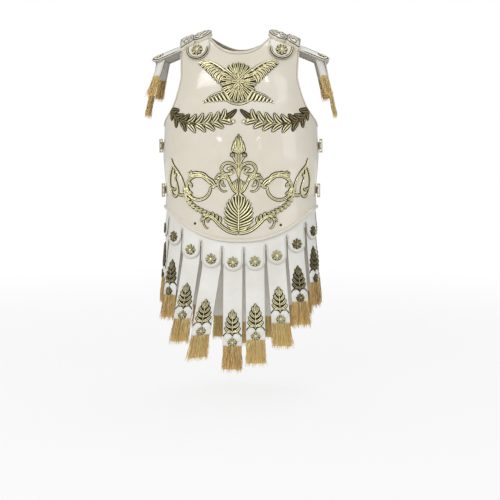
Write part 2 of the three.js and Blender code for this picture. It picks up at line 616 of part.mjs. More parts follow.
// One leather band inside the lower edge, slit below into round-ended tongues.
function tongueBand(half) {
  const places = skirtPlaces(half);
  const lines = places.flatMap((tongue) => tongueAcrossShares.map((share) => ({ tongue, share })));
  const radius = skirt.tongueWidth / 2;
  const tipRows = [[0, 1], [0.6, 0.8], [1, 0.3]]; // shares of the end radius down and across
  const levels = [
    { from: "rim", down: -skirt.bandRise, wide: 1 },
    { from: "rim", down: skirt.slitDepth, wide: 1 },
    ...tipRows.map(([down, wide]) => ({ from: "tip", down: (down - 1) * radius, wide })),
  ];
  const point = (inset) => (i, j) => {
    const { tongue, share } = lines[i];
    const level = levels[j];
    const p = tongue.p + share * skirt.tongueWidth * level.wide;
    const z = level.from === "rim" ? rimAtArc(half, p) - level.down : tongue.tipZ - level.down;
    return skirtPoint(half, p, z, inset);
  };
  const perTongue = tongueAcrossShares.length;
  const filled = (i, j) => (i + 1) % perTongue !== 0 || j < 1;
  const outer = point(tongueInset);
  const inner = point(tongueInset + skirt.tongueThickness);
  const band = sheetSolid(lines.length - 1, levels.length - 1, inner, outer, half.sign < 0, filled);
  const sunk = -seat - skirt.tongueThickness / 2;
  const place = (p, z, height) => skirtPoint(half, p, z, tongueInset - sunk - height);
  const rise = skirt.rosetteRise - sunk - seat;
  const rosettes = places.map(({ p }) =>
    rosette(place, p, rimAtArc(half, p) - skirt.rosetteDepth, skirt.rosetteRadius, rise),
  );
  return join([band, ...rosettes]);
}

// The leather that the straps grow out of, behind the tongues.
function strapBand(half) {
  const lines = skirtPlaces(half).flatMap(({ p, tipZ }) =>
    tongueAcrossShares.map((share) => ({ p: p + share * skirt.tongueWidth, tipZ })),
  );
  const point = (inset) => (i, j) => {
    const { p, tipZ } = lines[i];
    return skirtPoint(half, p, j === 0 ? rimAtArc(half, p) + skirt.bandRise : tipZ, inset);
  };
  const outer = point(strapInset);
  return sheetSolid(lines.length - 1, 1, point(strapInset + skirt.strapThickness), outer, half.sign < 0);
}

// A fringed strap that hangs from its hinge line: leather, then a thicker fringe.
function hangingStrap({ top, down, out, leather, fringe, thickness, fringeThickness, tilt = 0, flip }) {
  const rows = [
    { along: 0, thick: thickness }, { along: leather, thick: thickness },
    { along: leather + thickness, thick: fringeThickness },
    { along: leather + fringe, thick: fringeThickness },
  ];
  const columns = top.length - 1;
  const middle = top[0].distanceTo(top.at(-1)) / 2;
  const point = (side) => (i, j) => {
    const { along, thick } = rows[j];
    const across = (i / columns) * 2 - 1;
    const turned = (along / (leather + fringe)) * across * middle * Math.tan(tilt);
    const depth = (side * thick) / 2 - thickness / 2;
    return top[i].clone().addScaledVector(down, along + turned).addScaledVector(out, depth);
  };
  return sheetSolid(columns, rows.length - 1, point(-1), point(1), flip);
}

function skirtStrap(half, { p, pivotZ, splay, end }) {
  const across = [-0.5, 0, 0.5].map((share) => share * skirt.strapWidth);
  const top = across.map((a) => skirtPoint(half, p + a, pivotZ, strapInset));
  const centre = skirtPoint(half, p, pivotZ, strapInset);
  const before = skirtPoint(half, p - 1, pivotZ, strapInset);
  const lateral = skirtPoint(half, p + 1, pivotZ, strapInset).sub(before).normalize();
  const fall = skirtPoint(half, p, end, strapInset).sub(centre).normalize();
  const down = fall.clone().addScaledVector(lateral, Math.tan(splay)).normalize();
  const out = fall.clone().cross(lateral).normalize();
  if (out.y * half.sign < 0) out.negate();
  const leatherLength = (pivotZ - end) / Math.abs(down.z);
  const geometry = hangingStrap({
    top, down, out, leather: leatherLength, fringe: skirt.fringeLength, thickness: skirt.strapThickness,
    fringeThickness: skirt.fringeThickness, tilt: splay, flip: half.sign > 0,
  });
  return { geometry, pivot: centre, axis: lateral, out };
}

function guardGeometry(side) {
  const g = guard;
  const place = (a, b, height) => onShoulder(side * a, b, shoulderSeat + height);
  const dome = (share) => g.lobeRise * (share < 0.6 ? 1 - 0.2 * share : 0.75 - 0.5 * (share - 0.6));
  const lobe = boss(place, g.lobeX, g.lobeY, g.lobeRadiusX, g.lobeRadiusY, [0.5, 0.86, 1], 14, dome, 0);
  const steps = 4;
  const blockBase = armTongue.thickness + shoulderSeat;
  const block = (height) => (i, j) => {
    const x = g.blockX + g.blockHalfX * ((2 * i) / steps - 1);
    const y = g.blockY + g.blockHalfY * ((2 * j) / steps - 1);
    const rim = Math.max(Math.abs((2 * i) / steps - 1), Math.abs((2 * j) / steps - 1));
    return place(x, y, height(rim));
  };
  const blockRise = (rim) => blockBase + g.blockRise * (1 - 0.35 * rim);
  const plate = sheetSolid(steps, steps, block(blockRise), block(() => blockBase));
  const neck = sheetSolid(2, 2, ...[g.lobeRise * 0.7, blockBase].map((height) => (i, j) => {
    const x = THREE.MathUtils.lerp(g.lobeX, g.blockX, i / 2);
    return place(x, g.blockY + g.neckHalfY * (j - 1), height);
  }));
  return join([lobe, plate, neck, guardArm().scale(side, 1, 1)]);
}

// The knuckle at the back of a shoulder guard, on an arm that reaches over the seam.
function guardArm() {
  const h = hinge;
  const outline = new THREE.Shape();
  outline.moveTo(h.y - h.armReach, h.armRootZ - h.armHeight / 2);
  outline.lineTo(h.y, h.z - h.knuckleRadius);
  outline.absarc(h.y, h.z, h.knuckleRadius, -Math.PI / 2, Math.PI / 2, false);
  outline.lineTo(h.y - h.armReach, h.armRootZ + h.armHeight / 2);
  outline.holes.push(new THREE.Path().absarc(h.y, h.z, h.bore, 0, 2 * Math.PI, true));
  const arm = new THREE.ExtrudeGeometry(outline, { ...plain, depth: h.knuckle });
  return layAlongX(arm, h.x + (h.width - h.knuckle) / 2);
}
// Lays an outline drawn in depth and height, extruded along its normal, with that length along X.
function layAlongX(geometry, x) {
  const turn = new THREE.Matrix4().set(0, 0, 1, x, 1, 0, 0, 0, 0, 1, 0, 0, 0, 0, 0, 1);
  return geometry.applyMatrix4(turn);
}

function hingeLeaf(side) {
  const h = hinge;
  const knuckleLength = (h.width - h.knuckle) / 2 - h.runningGap;
  const wallY = h.y + h.knuckleRadius + h.runningGap;
  const columns = 4;
  const bend = wallY + h.leafThickness * 1.2;
  const flatRows = range(4).map((k) => THREE.MathUtils.lerp(bend, h.leafEnd, k / 3));
  const rowsY = [wallY, wallY + h.leafThickness, ...flatRows];
  const x = (i) => h.x + (h.width * i) / columns;
  const top = (i, j) => {
    const raised = new THREE.Vector3(x(i), rowsY[j], h.z + h.knuckleRadius * 0.8);
    return j < 2 ? raised : onShoulder(x(i), rowsY[j], shoulderSeat + h.leafThickness);
  };
  const bottom = (i, j) => onShoulder(x(i), rowsY[j], shoulderSeat);
  const leaf = sheetSolid(columns, rowsY.length - 1, top, bottom);
  const outline = new THREE.Shape();
  outline.moveTo(wallY + h.leafThickness / 2, h.z + h.knuckleRadius * 0.7);
  outline.lineTo(h.y, h.z + h.knuckleRadius);
  outline.absarc(h.y, h.z, h.knuckleRadius, Math.PI / 2, (Math.PI * 3) / 2, false);
  outline.lineTo(wallY + h.leafThickness / 2, h.z - h.knuckleRadius);
  outline.holes.push(new THREE.Path().absarc(h.y, h.z, h.bore, 0, 2 * Math.PI, true));
  const knuckles = [h.x, h.x + h.width - knuckleLength].map((start) =>
    layAlongX(new THREE.ExtrudeGeometry(outline, { ...plain, depth: knuckleLength }), start),
  );
  return join([leaf, ...knuckles].map((piece) => piece.scale(side, 1, 1)));
}
function hingePin(side) {
  const h = hinge;
  const [r, head] = [h.pinRadius, h.pinHeadRadius];
  const half = h.width / 2 + h.runningGap;
  const outline = [[0, -half - h.pinHead], [head, -half - h.pinHead], [head, -half], [r, -half], [r, half],
    [head, half], [head, half + h.pinHead], [0, half + h.pinHead]];
  const pin = new THREE.LatheGeometry(outline.map(([a, b]) => new THREE.Vector2(a, b)), 10);
  return pin.rotateZ(Math.PI / 2).translate(side * (h.x + h.width / 2), h.y, h.z);
}

function chestTongueGeometry(side) {
  const c = chestTongue;
  const columns = 5;
  const tipRows = [[0, 1], [0.3, 0.954], [0.6, 0.8], [0.85, 0.527], [1, 0.2]];
  const levels = [
    { z: c.topZ, wide: 1, slope: 1 },
    ...tipRows.map(([down, wide]) => ({ z: c.tipZ + c.halfWidth * (1 - down), wide, slope: 0 })),
  ];
  const point = (height) => (i, j) => {
    const { z, wide, slope } = levels[j];
    const x = c.x + c.halfWidth * wide * ((2 * i) / columns - 1);
    return onFrontFace(side * x, z - slope * (slopeDrop(x) - slopeDrop(c.x)), height);
  };
  const faces = [shoulderSeat, shoulderSeat + c.thickness].map(point);
  const tongue = sheetSolid(columns, levels.length - 1, ...faces);
  const place = (x, z, height) => onFrontFace(side * x, z, height + c.thickness / 2);
  const flower = rosette(place, c.x, c.tipZ + c.halfWidth * 0.75, c.halfWidth / 2, c.thickness);
  return join([tongue, flower]);
}

function armTongueGeometry(side, half) {
  const a = armTongue;
  const across = 4;
  const tipRows = [[0, 1], [0.55, 0.83], [0.9, 0.44], [1, 0.2]];
  const straight = a.tipX - a.halfWidth;
  const levels = [
    ...range(3).map((i) => ({ x: THREE.MathUtils.lerp(a.rootX, straight, i / 3), wide: 1 })),
    ...tipRows.map(([along, wide]) => ({ x: straight + a.halfWidth * along, wide })),
  ];
  const point = (height) => (i, j) => {
    const y = half.sign * (a.y + a.halfWidth * levels[j].wide * ((2 * i) / across - 1));
    return onShoulder(side * levels[j].x, y, height);
  };
  const faces = [shoulderSeat, shoulderSeat + a.thickness].map(point);
  const tongue = sheetSolid(across, levels.length - 1, ...faces);
  const place = (x, y, height) => onShoulder(side * x, half.sign * y, height + a.thickness / 2);
  const flower = rosette(place, a.rosetteX, a.y, skirt.rosetteRadius * 0.75, a.thickness);
  return join([tongue, flower]);
}

function armStrapParts(side, half, k) {
  const a = armTongue;
  const under = shoulderSeat - a.strapGap;
  const ends = Object.values(armStrapPlaceShares[k]).map(([along, across]) => {
    const x = THREE.MathUtils.lerp(a.rootX, a.tipX, along);
    return onShoulder(side * x, half.sign * (a.y + across * a.halfWidth), under);
  });
  const top = [0, 0.5, 1].map((share) => ends[0].clone().lerp(ends[1], share));
  const lateral = ends[1].clone().sub(ends[0]).normalize();
  const out = new THREE.Vector3(lateral.y, -lateral.x, 0).normalize();
  if (out.x * side < 0) out.negate();
  const lean = THREE.MathUtils.degToRad(armStrapLeanDegrees[k]);
  const down = new THREE.Vector3(0, 0, -Math.cos(lean)).addScaledVector(out, Math.sin(lean));
  const face = down.clone().cross(lateral).normalize();
  if (face.dot(out) < 0) face.negate();
  const lowered = top.map((p) => p.clone().addScaledVector(down, a.strapGap));
  const geometry = hangingStrap({
    top: lowered, down, out: face, leather: armStrap.leather[k], fringe: armStrap.fringeLength,
    thickness: armStrap.thickness, fringeThickness: armStrap.fringeThickness,
  });
  return { geometry, pivot: top[1], axis: lateral, out };
}

// A strap riveted to the backplate's side, whose free end slides through a loop on the breastplate.
function sideStrapGeometry(side, height) {
  const s = sideStrap;
  const back = halves.back;
  const stationShares = [1, 0.82, 0.64, 0.46, 0.16];
  const stations = [...stationShares.map((share) => share * s.rootY), -loop.startY, -s.endY];
  const sideX = (y, z) => halfWidthAt(z) * sectionDepth(y / depthAt(back, z));
  const point = (lift) => (i, j) => {
    const y = stations[i];
    const z = -height + s.width * (j - 0.5);
    const onPlate = y > s.rootY / 2;
    const x = sideX(Math.max(y, 0), onPlate ? z : -height) + (onPlate ? s.rootGap : s.rise);
    return new THREE.Vector3(side * (x + lift), y, z);
  };
  return sheetSolid(stations.length - 1, 1, point(s.thickness), point(0));
}
function loopGeometry(side, height) {
  const s = sideStrap;
  const z = -height;
  const depth = loop.base + loop.slotThickness + loop.top;
  const tall = loop.slotHeight + 2 * loop.bar;
  const x = Math.max(halfWidthAt(z + tall / 2), halfWidthAt(z - tall / 2)) + s.rootGap;
  const block = new THREE.BoxGeometry(depth, loop.deep, tall);
  block.translate(x + depth / 2, 0, 0);
  const slot = new THREE.BoxGeometry(loop.slotThickness, loop.deep + cutOverrun, loop.slotHeight);
  slot.translate(x + loop.base + loop.slotThickness / 2, 0, 0);
  const ring = cut(block, slot).translate(0, -loop.startY - loop.deep / 2, z);
  return ring.scale(side, 1, 1);
}

function part(name, geometry, material) {
  const mesh = new THREE.Mesh(faceOut(geometry), material);
  mesh.name = name;
  return mesh;
}
function hinged(name, { geometry, pivot, axis, out }, material) {
  const mesh = part(name, geometry.translate(-pivot.x, -pivot.y, -pivot.z), material);
  mesh.position.copy(pivot);
  mesh.userData = { axis: axis.toArray(), out: out.toArray() };
  return mesh;
}
const sides = [["left", -1], ["right", 1]];

function frontAssembly() {
  const group = new THREE.Group();
  group.add(part("breastplate", plates.front.geometry, lacquer));
  group.add(part("chest_emblem", emblemGeometry(), gilt));
  group.add(part("waist_scrollwork", scrollGeometry(), gilt));
  group.add(part("front_tongue_band", tongueBand(halves.front), leather));
  group.add(part("front_strap_band", strapBand(halves.front), leather));
  for (const [name, side] of sides) {
    group.add(part(`laurel_${name}`, laurelGeometry(side), gilt));
    group.add(part(`shoulder_guard_${name}`, guardGeometry(side), lacquer));
    group.add(part(`chest_tongue_${name}`, chestTongueGeometry(side), leather));
    group.add(part(`front_arm_tongue_${name}`, armTongueGeometry(side, halves.front), leather));
    sideStrap.heights.forEach((height, k) =>
      group.add(part(`side_loop_${name}_${k + 1}`, loopGeometry(side, height), gilt)),
    );
  }
  return group;
}
function backAssembly() {
  const group = new THREE.Group();
  group.add(part("backplate", plates.back.geometry, lacquer));
  group.add(part("back_tongue_band", tongueBand(halves.back), leather));
  group.add(part("back_strap_band", strapBand(halves.back), leather));
  for (const [name, side] of sides) {
    group.add(part(`hinge_leaf_${name}`, hingeLeaf(side), gilt));
    group.add(part(`hinge_pin_${name}`, hingePin(side), steel));
    group.add(part(`back_arm_tongue_${name}`, armTongueGeometry(side, halves.back), leather));
    sideStrap.heights.forEach((height, k) =>
      group.add(part(`side_strap_${name}_${k + 1}`, sideStrapGeometry(side, height), leather)),
    );
  }
  return group;
}
function strapAssembly() {
  const group = new THREE.Group();
  for (const [name, half] of Object.entries(halves)) {
    skirtPlaces(half).forEach((place, k) =>
      group.add(hinged(`${name}_strap_${k + 1}`, skirtStrap(half, place), leather)),
    );
    for (const [hand, side] of sides)
      range(armStrapPlaceShares.length).forEach((k) =>
        group.add(hinged(`${name}_arm_strap_${hand}_${k + 1}`, armStrapParts(side, half, k), leather)),
      );
  }
  return group;
}

const cuirass = new THREE.Group();
cuirass.add(frontAssembly(), backAssembly(), strapAssembly());
export default cuirass;
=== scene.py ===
# Muscle cuirass: ivory lacquered plates with gilt relief, white leather tongues and fringed straps.
# Shapes are worked out in millimetres and written to the meshes in metres.
import math
import random

import bmesh
import bpy
import numpy as np
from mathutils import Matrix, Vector


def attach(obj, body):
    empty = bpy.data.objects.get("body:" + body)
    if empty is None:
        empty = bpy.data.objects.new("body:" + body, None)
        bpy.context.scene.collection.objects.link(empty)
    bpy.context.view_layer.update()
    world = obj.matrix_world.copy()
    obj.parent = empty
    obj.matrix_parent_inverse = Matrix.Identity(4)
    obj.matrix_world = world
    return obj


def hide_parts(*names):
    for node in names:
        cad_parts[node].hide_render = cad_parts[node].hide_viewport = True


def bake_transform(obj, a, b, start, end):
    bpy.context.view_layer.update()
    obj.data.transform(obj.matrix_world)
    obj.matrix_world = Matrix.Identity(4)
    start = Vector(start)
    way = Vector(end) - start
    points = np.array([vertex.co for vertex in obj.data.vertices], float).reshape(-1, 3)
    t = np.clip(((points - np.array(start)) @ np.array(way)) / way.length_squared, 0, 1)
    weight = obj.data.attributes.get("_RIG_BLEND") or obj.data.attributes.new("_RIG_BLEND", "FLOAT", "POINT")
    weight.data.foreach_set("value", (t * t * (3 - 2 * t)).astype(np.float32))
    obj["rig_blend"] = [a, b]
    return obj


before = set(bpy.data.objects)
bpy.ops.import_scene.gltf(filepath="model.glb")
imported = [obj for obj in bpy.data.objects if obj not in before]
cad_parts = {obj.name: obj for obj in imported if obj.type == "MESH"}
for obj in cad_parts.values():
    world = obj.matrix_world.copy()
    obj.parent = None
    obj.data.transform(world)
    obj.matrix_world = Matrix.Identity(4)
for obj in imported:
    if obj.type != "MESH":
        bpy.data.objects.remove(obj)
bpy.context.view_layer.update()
metres = 0.001
random.seed(7)
print("frame loaded:", len(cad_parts), "nodes")

# Camera
view = {
    "target": (0.024, 0, -0.57), "distance": 2.6, "azimuth": 2.5, "elevation": 6,
    "lens": 69.3, "sensor": 36,
}


def makeCamera():
    camera = bpy.data.objects.new("camera", bpy.data.cameras.new("camera"))
    bpy.context.scene.collection.objects.link(camera)
    turn, rise = math.radians(view["azimuth"]), math.radians(view["elevation"])
    back = Vector((math.sin(turn) * math.cos(rise), -math.cos(turn) * math.cos(rise), math.sin(rise)))
    camera.location = Vector(view["target"]) + back * view["distance"]
    camera.rotation_euler = (-back).to_track_quat("-Z", "Y").to_euler()
    camera.data.lens = view["lens"]
    camera.data.sensor_width = view["sensor"]
    bpy.context.scene.camera = camera


makeCamera()
bpy.context.scene.view_settings.view_transform = "Standard"

# The plates' form
torso = {
    "chestHalfWidth": 203, "sideLength": 455, "centreLength": 537, "flareStart": 418, "wall": 2.6,
    "seamGap": 0.8, "shoulderHalfWidth": 149, "shoulderRound": 150, "armpitDepth": 240,
    "neckHalfWidth": 82, "slopeRound": 15, "shoulderSlope": 0.42, "flare": 0.079,
    "sectionPower": 2.4, "capPower": 2.2, "rimPower": 2.6, "girthSteps": 180,
}
slopeStep = 0.5  # millimetres to either side of a place, for the slope there
muscle = {
    "chestX": 78, "chestZ": -140, "chestHalfWidth": 88, "chestHalfHeight": 94, "chestRise": 10,
    "chestCore": 0.42, "chestFoot": 1.06, "bladeCore": 0.45, "bladeFoot": 1.05,
    "bellyHalfWidth": 62, "bellyTop": -262, "bellyStep": 60, "bellyRise": 4.5, "bellyEdge": 16,
    "ribX": 128, "ribZ": -300, "ribRadius": 52, "ribRise": 4,
    "flankX": 120, "flankZ": -410, "flankRadius": 46, "flankRise": 4,
    "bladeX": 82, "bladeZ": -150, "bladeHalfWidth": 66, "bladeHalfHeight": 92, "bladeRise": 9,
    "spineHalfWidth": 22, "spineDepth": 8, "spineTop": -70,
    "loinX": 46, "loinZ": -360, "loinRadius": 60, "loinRise": 6,
    "fadeEnd": -470, "fadeLength": 86, "sidePower": 6, "capFade": 0.8,
}
widthRows = [(-0.2, 1), (0, 1), (0.44, 1), (0.57, 1.02), (0.7, 1), (0.78, 0.985), (0.9, 0.985)]
frontRows = [(-0.2, 1), (0, 1), (0.24, 1), (0.5, 0.97), (0.7, 0.93), (0.78, 0.925), (0.9, 0.925)]
backRows = [(-0.2, 1), (0, 1), (0.24, 1.02), (0.5, 0.93), (0.7, 0.84), (0.78, 0.85), (0.9, 0.85)]
armholeRows = [
    (0, 1), (0.07, 0.975), (0.15, 0.915), (0.23, 0.86), (0.375, 0.798),
    (0.56, 0.744), (0.71, 0.744), (0.91, 0.755), (1, 0.734),
]


def splinePath(points, count):
    rows = np.array(points, float)
    last = len(rows) - 1
    t = np.linspace(0, last, count + 1)
    i = np.minimum(t.astype(int), last - 1)
    w = (t - i)[:, None]
    p0, p1 = rows[np.maximum(i - 1, 0)], rows[i]
    p2, p3 = rows[i + 1], rows[np.minimum(i + 2, last)]
    v0, v1 = (p2 - p0) / 2, (p3 - p1) / 2
    return (2 * p1 - 2 * p2 + v0 + v1) * w**3 + (3 * p2 - 3 * p1 - 2 * v0 - v1) * w**2 + v0 * w + p1


def tableCurve(rows):
    path = splinePath(rows, 160)
    return lambda t: np.interp(t, path[:, 0], path[:, 1])


def smooth(x, low, high):
    t = np.clip((x - low) / (high - low), 0, 1)
    return t * t * (3 - 2 * t)


def bump(distance, radius):
    return np.exp(-((distance / radius) ** 2))


def sizeAt(z, size, curve):
    down = np.minimum(-z, torso["flareStart"])
    flare = np.maximum(-z - torso["flareStart"], 0) * torso["flare"]
    return size * curve(down / torso["centreLength"]) + flare


widthCurve, armholeCurve = tableCurve(widthRows), tableCurve(armholeRows)


def halfWidthAt(z):
    return sizeAt(z, torso["chestHalfWidth"], widthCurve)


def superSine(angle):
    return np.sign(np.sin(angle)) * np.abs(np.sin(angle)) ** (2 / torso["sectionPower"])


def superCosine(angle):
    return np.abs(np.cos(angle)) ** (2 / torso["sectionPower"])


def sectionDepth(share):
    power = torso["sectionPower"]
    return (1 - np.minimum(np.abs(share), 1) ** power) ** (1 / power)


def slopeDrop(x):
    out = np.abs(x) - torso["neckHalfWidth"]
    return torso["shoulderSlope"] * (np.hypot(out, torso["slopeRound"]) + out) / 2


def capShare(z):
    rise = np.clip((z + torso["shoulderRound"]) / torso["shoulderRound"], 0, 1)
    return (1 - rise ** torso["capPower"]) ** (1 / torso["capPower"])


def capHeight(share):
    power = torso["capPower"]
    return torso["shoulderRound"] * ((1 - np.clip(share, 0, 1) ** power) ** (1 / power) - 1)


def chestMuscles(x, z):
    m, side = muscle, np.abs(x)
    chest = np.hypot((side - m["chestX"]) / m["chestHalfWidth"], (z - m["chestZ"]) / m["chestHalfHeight"])
    outer = smooth(side, m["bellyHalfWidth"] - m["bellyEdge"], m["bellyHalfWidth"])
    column = smooth(side, 0, m["bellyEdge"]) * (1 - outer)
    row = np.sin(math.pi * (m["bellyTop"] - z) / m["bellyStep"]) ** 2
    below = 1 - smooth(z, m["bellyTop"] - m["bellyEdge"], m["bellyTop"])
    rib = bump(np.hypot(side - m["ribX"], z - m["ribZ"]), m["ribRadius"])
    flank = bump(np.hypot(side - m["flankX"], z - m["flankZ"]), m["flankRadius"])
    chestShare = 1 - smooth(chest, m["chestCore"], m["chestFoot"])
    return (m["chestRise"] * chestShare + m["bellyRise"] * column * below * (1 + row) / 2
            + m["ribRise"] * rib + m["flankRise"] * flank)


def backMuscles(x, z):
    m, side = muscle, np.abs(x)
    blade = np.hypot((side - m["bladeX"]) / m["bladeHalfWidth"], (z - m["bladeZ"]) / m["bladeHalfHeight"])
    spine = bump(side, m["spineHalfWidth"]) * (1 - smooth(z, m["spineTop"] * 2, m["spineTop"]))
    loin = bump(np.hypot(side - m["loinX"], z - m["loinZ"]), m["loinRadius"])
    bladeShare = 1 - smooth(blade, m["bladeCore"], m["bladeFoot"])
    return m["bladeRise"] * bladeShare - m["spineDepth"] * spine + m["loinRise"] * loin


halves = {
    "front": {
        "sign": -1, "muscles": chestMuscles, "curve": tableCurve(frontRows),
        "neck": 97, "neckPower": 2.5, "depth": 122, "length": torso["centreLength"],
    },
    "back": {
        "sign": 1, "muscles": backMuscles, "curve": tableCurve(backRows),
        "neck": 72, "neckPower": 2, "depth": 110, "length": 505,
    },
}


def depthAt(half, z):
    return sizeAt(z, half["depth"], half["curve"])


def standOff(half, x, z):
    share = x / halfWidthAt(z)
    cap = capShare(z + slopeDrop(x))
    fade = smooth(z, muscle["fadeEnd"], muscle["fadeEnd"] + muscle["fadeLength"])
    towardsSide = 1 - np.minimum(np.abs(share), 1) ** muscle["sidePower"]
    swell = half["muscles"](x, z) * fade * towardsSide * smooth(cap, 0, muscle["capFade"])
    return depthAt(half, z) * cap * sectionDepth(share) + swell + torso["seamGap"] / 2


def rimHeight(half, turn):
    dip = half["length"] - torso["sideLength"]
    return -torso["sideLength"] - dip * np.cos(turn * math.pi / 2) ** torso["rimPower"]


def topHeight(half, x):
    inside = np.clip(1 - np.abs(x / torso["neckHalfWidth"]) ** half["neckPower"], 0, 1)
    edge = half["neck"] * inside ** (1 / half["neckPower"])
    return capHeight(edge / (half["depth"] * sectionDepth(x / torso["chestHalfWidth"]))) - slopeDrop(x)


def angleOf(share):
    return np.arcsin(np.clip(share, 0, 1) ** (torso["sectionPower"] / 2))


shoulderEnd = float(-slopeDrop(torso["shoulderHalfWidth"]))


def plateAngle(g):
    z = -torso["sideLength"] + g * (shoulderEnd + torso["sideLength"])
    up = (z + torso["armpitDepth"]) / (shoulderEnd + torso["armpitDepth"])
    return np.where(up <= 0, math.pi / 2, angleOf(armholeCurve(np.maximum(up, 0))))


def platePoint(half, turn, g):
    topX = torso["chestHalfWidth"] * superSine(turn * plateAngle(np.ones_like(turn)))
    rim = rimHeight(half, turn)
    z = rim + g * (topHeight(half, topX) - rim)
    x = halfWidthAt(z) * superSine(turn * plateAngle(g))
    offSeam = (g < 1) | (np.abs(topX) < torso["neckHalfWidth"])
    away = np.where(offSeam, standOff(half, x, z), torso["seamGap"] / 2)
    return np.stack([x, half["sign"] * away, z], 1)


def normalised(rows):
    return rows / np.maximum(np.linalg.norm(rows, axis=1, keepdims=True), 1e-9)


def plateNormal(half, turn, g):
    step = 0.002  # share of the plate's width and height
    left, right = np.maximum(turn - step, -1), np.minimum(turn + step, 1)
    low, high = np.maximum(g - step, 0), np.minimum(g + step, 1)
    across = platePoint(half, right, g) - platePoint(half, left, g)
    up = platePoint(half, turn, high) - platePoint(half, turn, low)
    return normalised(np.cross(across, up) * -half["sign"])


# A place on a plate seen from the front or the back, raised by a height along its normal.
def onPlate(half, x, z, height):
    step = slopeStep
    slopeX = (standOff(half, x + step, z) - standOff(half, x - step, z)) / (2 * step)
    slopeZ = (standOff(half, x, z + step) - standOff(half, x, z - step)) / (2 * step)
    normal = normalised(np.stack([-slopeX, np.full_like(x, half["sign"]), -slopeZ], 1))
    base = np.stack([x, half["sign"] * standOff(half, x, z), z], 1)
    return base + normal * np.reshape(height, (-1, 1))


def girthTable(half):
    angles = np.arange(torso["girthSteps"] + 1) * math.pi / (2 * torso["girthSteps"])
    z = np.full_like(angles, -torso["sideLength"])
    places = np.stack([halfWidthAt(z) * superSine(angles), depthAt(half, z) * superCosine(angles)], 1)
    steps = np.linalg.norm(np.diff(places, axis=0), axis=1)
    return angles, np.concatenate([[0], np.cumsum(steps)])


for form in halves.values():
    form["girthAngles"], form["girthLengths"] = girthTable(form)
front, back = halves["front"], halves["back"]


def angleAtArc(half, p):
    return np.sign(p) * np.interp(np.abs(p), half["girthLengths"], half["girthAngles"])


# The same place told by its distance round the plate.
def onChest(p, z, height):
    return onPlate(front, halfWidthAt(z) * superSine(angleAtArc(front, p)), z, height)


def skirtPoint(half, p, z, inset):
    angle = angleAtArc(half, p)
    x = (halfWidthAt(z) - inset) * superSine(angle)
    y = (depthAt(half, z) - inset) * superCosine(angle) + torso["seamGap"] / 2
    return np.stack([x, half["sign"] * y, z + 0 * x], 1)


def rimAtArc(half, p):
    return rimHeight(half, angleAtArc(half, p) / (math.pi / 2))


def shoulderHeight(x, y):
    depth = np.where(y < 0, front["depth"], back["depth"])
    inner = np.minimum(np.abs(x), torso["shoulderHalfWidth"])
    return capHeight(np.abs(y) / (depth * sectionDepth(inner / torso["chestHalfWidth"]))) - slopeDrop(x)


def onShoulder(x, y, height):
    step = slopeStep
    slopeX = (shoulderHeight(x + step, y) - shoulderHeight(x - step, y)) / (2 * step)
    slopeY = (shoulderHeight(x, y + step) - shoulderHeight(x, y - step)) / (2 * step)
    normal = normalised(np.stack([-slopeX, -slopeY, np.ones_like(x)], 1))
    return np.stack([x, y, shoulderHeight(x, y)], 1) + normal * np.reshape(height, (-1, 1))


# Building helpers
# A sheet of quads whose places come from its two parameters, each running from 0 to 1.
def addGrid(bm, columns, rows, place, layers=None):
    made = bmesh.ops.create_grid(bm, x_segments=columns, y_segments=rows, size=1)["verts"]
    u = np.array([(vert.co.x + 1) / 2 for vert in made])
    v = np.array([(vert.co.y + 1) / 2 for vert in made])
    for vert, point in zip(made, place(u, v) * metres):
        vert.co = point
    for name, values in (layers or {}).items():
        layer = bm.verts.layers.float[name]
        for vert, value in zip(made, values(u, v)):
            vert[layer] = value
    return made


def startMesh(*layerNames):
    bm = bmesh.new()
    for name in layerNames:
        bm.verts.layers.float.new(name)
    return bm


def weld(bm, verts, distance=0.02):
    bmesh.ops.remove_doubles(bm, verts=verts, dist=distance * metres)


# Gives every vertex from the first one on the same value of a layer.
def paint(bm, name, value, first=0):
    layer = bm.verts.layers.float[name]
    bm.verts.ensure_lookup_table()
    for vert in bm.verts[first:]:
        vert[layer] = value


# Turns the mesh into a piece of its own on a body; an empty body leaves that to a blend.
def finishPiece(name, bm, materials, body, replaced=(), outwards=True):
    if outwards:
        bmesh.ops.recalc_face_normals(bm, faces=bm.faces)
    for face in bm.faces:
        face.smooth = True
    mesh = bpy.data.meshes.new(name)
    bm.to_mesh(mesh)
    bm.free()
    for material in materials:
        mesh.materials.append(material)
    piece = bpy.data.objects.new(name, mesh)
    bpy.context.scene.collection.objects.link(piece)
    if body:
        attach(piece, body)
    if replaced:
        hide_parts(*replaced)
    return piece


# The same surface, raised.
def raisedBy(place, extra):
    return lambda a, b, height: place(a, b, height + extra)


def mirrored(points, side):
    return [(side * a, b) for a, b in points]


def between(first, last, share):
    return tuple(a + (b - a) * share for a, b in zip(first, last))


def circlePoints(centre, radius, start, end, count):
    return [(centre[0] + radius * math.cos(t), centre[1] + radius * math.sin(t))
            for t in np.linspace(start, end, count)]


def sideways(path):
    along = np.gradient(path, axis=0)
    along /= np.maximum(np.linalg.norm(along, axis=1, keepdims=True), 1e-9)
    return np.stack([-along[:, 1], along[:, 0]], 1)


# Cross sections of raised ornament: place across from -1 to 1, then height.
sections = {
    "leaf": [
        (-1, 0), (-0.84, 0.3), (-0.66, 0.82), (-0.34, 1), (-0.1, 0.12),
        (0.1, 0.12), (0.34, 1), (0.66, 0.82), (0.84, 0.3), (1, 0),
    ],
    "ridge": [(-1, 0), (-0.8, 0.25), (-0.55, 0.82), (0, 1), (0.55, 0.82), (0.8, 0.25), (1, 0)],
    "ribbon": [
        (-1, 0), (-0.8, 0.3), (-0.62, 0.92), (-0.36, 1), (0, 0.2),
        (0.36, 1), (0.62, 0.92), (0.8, 0.3), (1, 0),
    ],
}
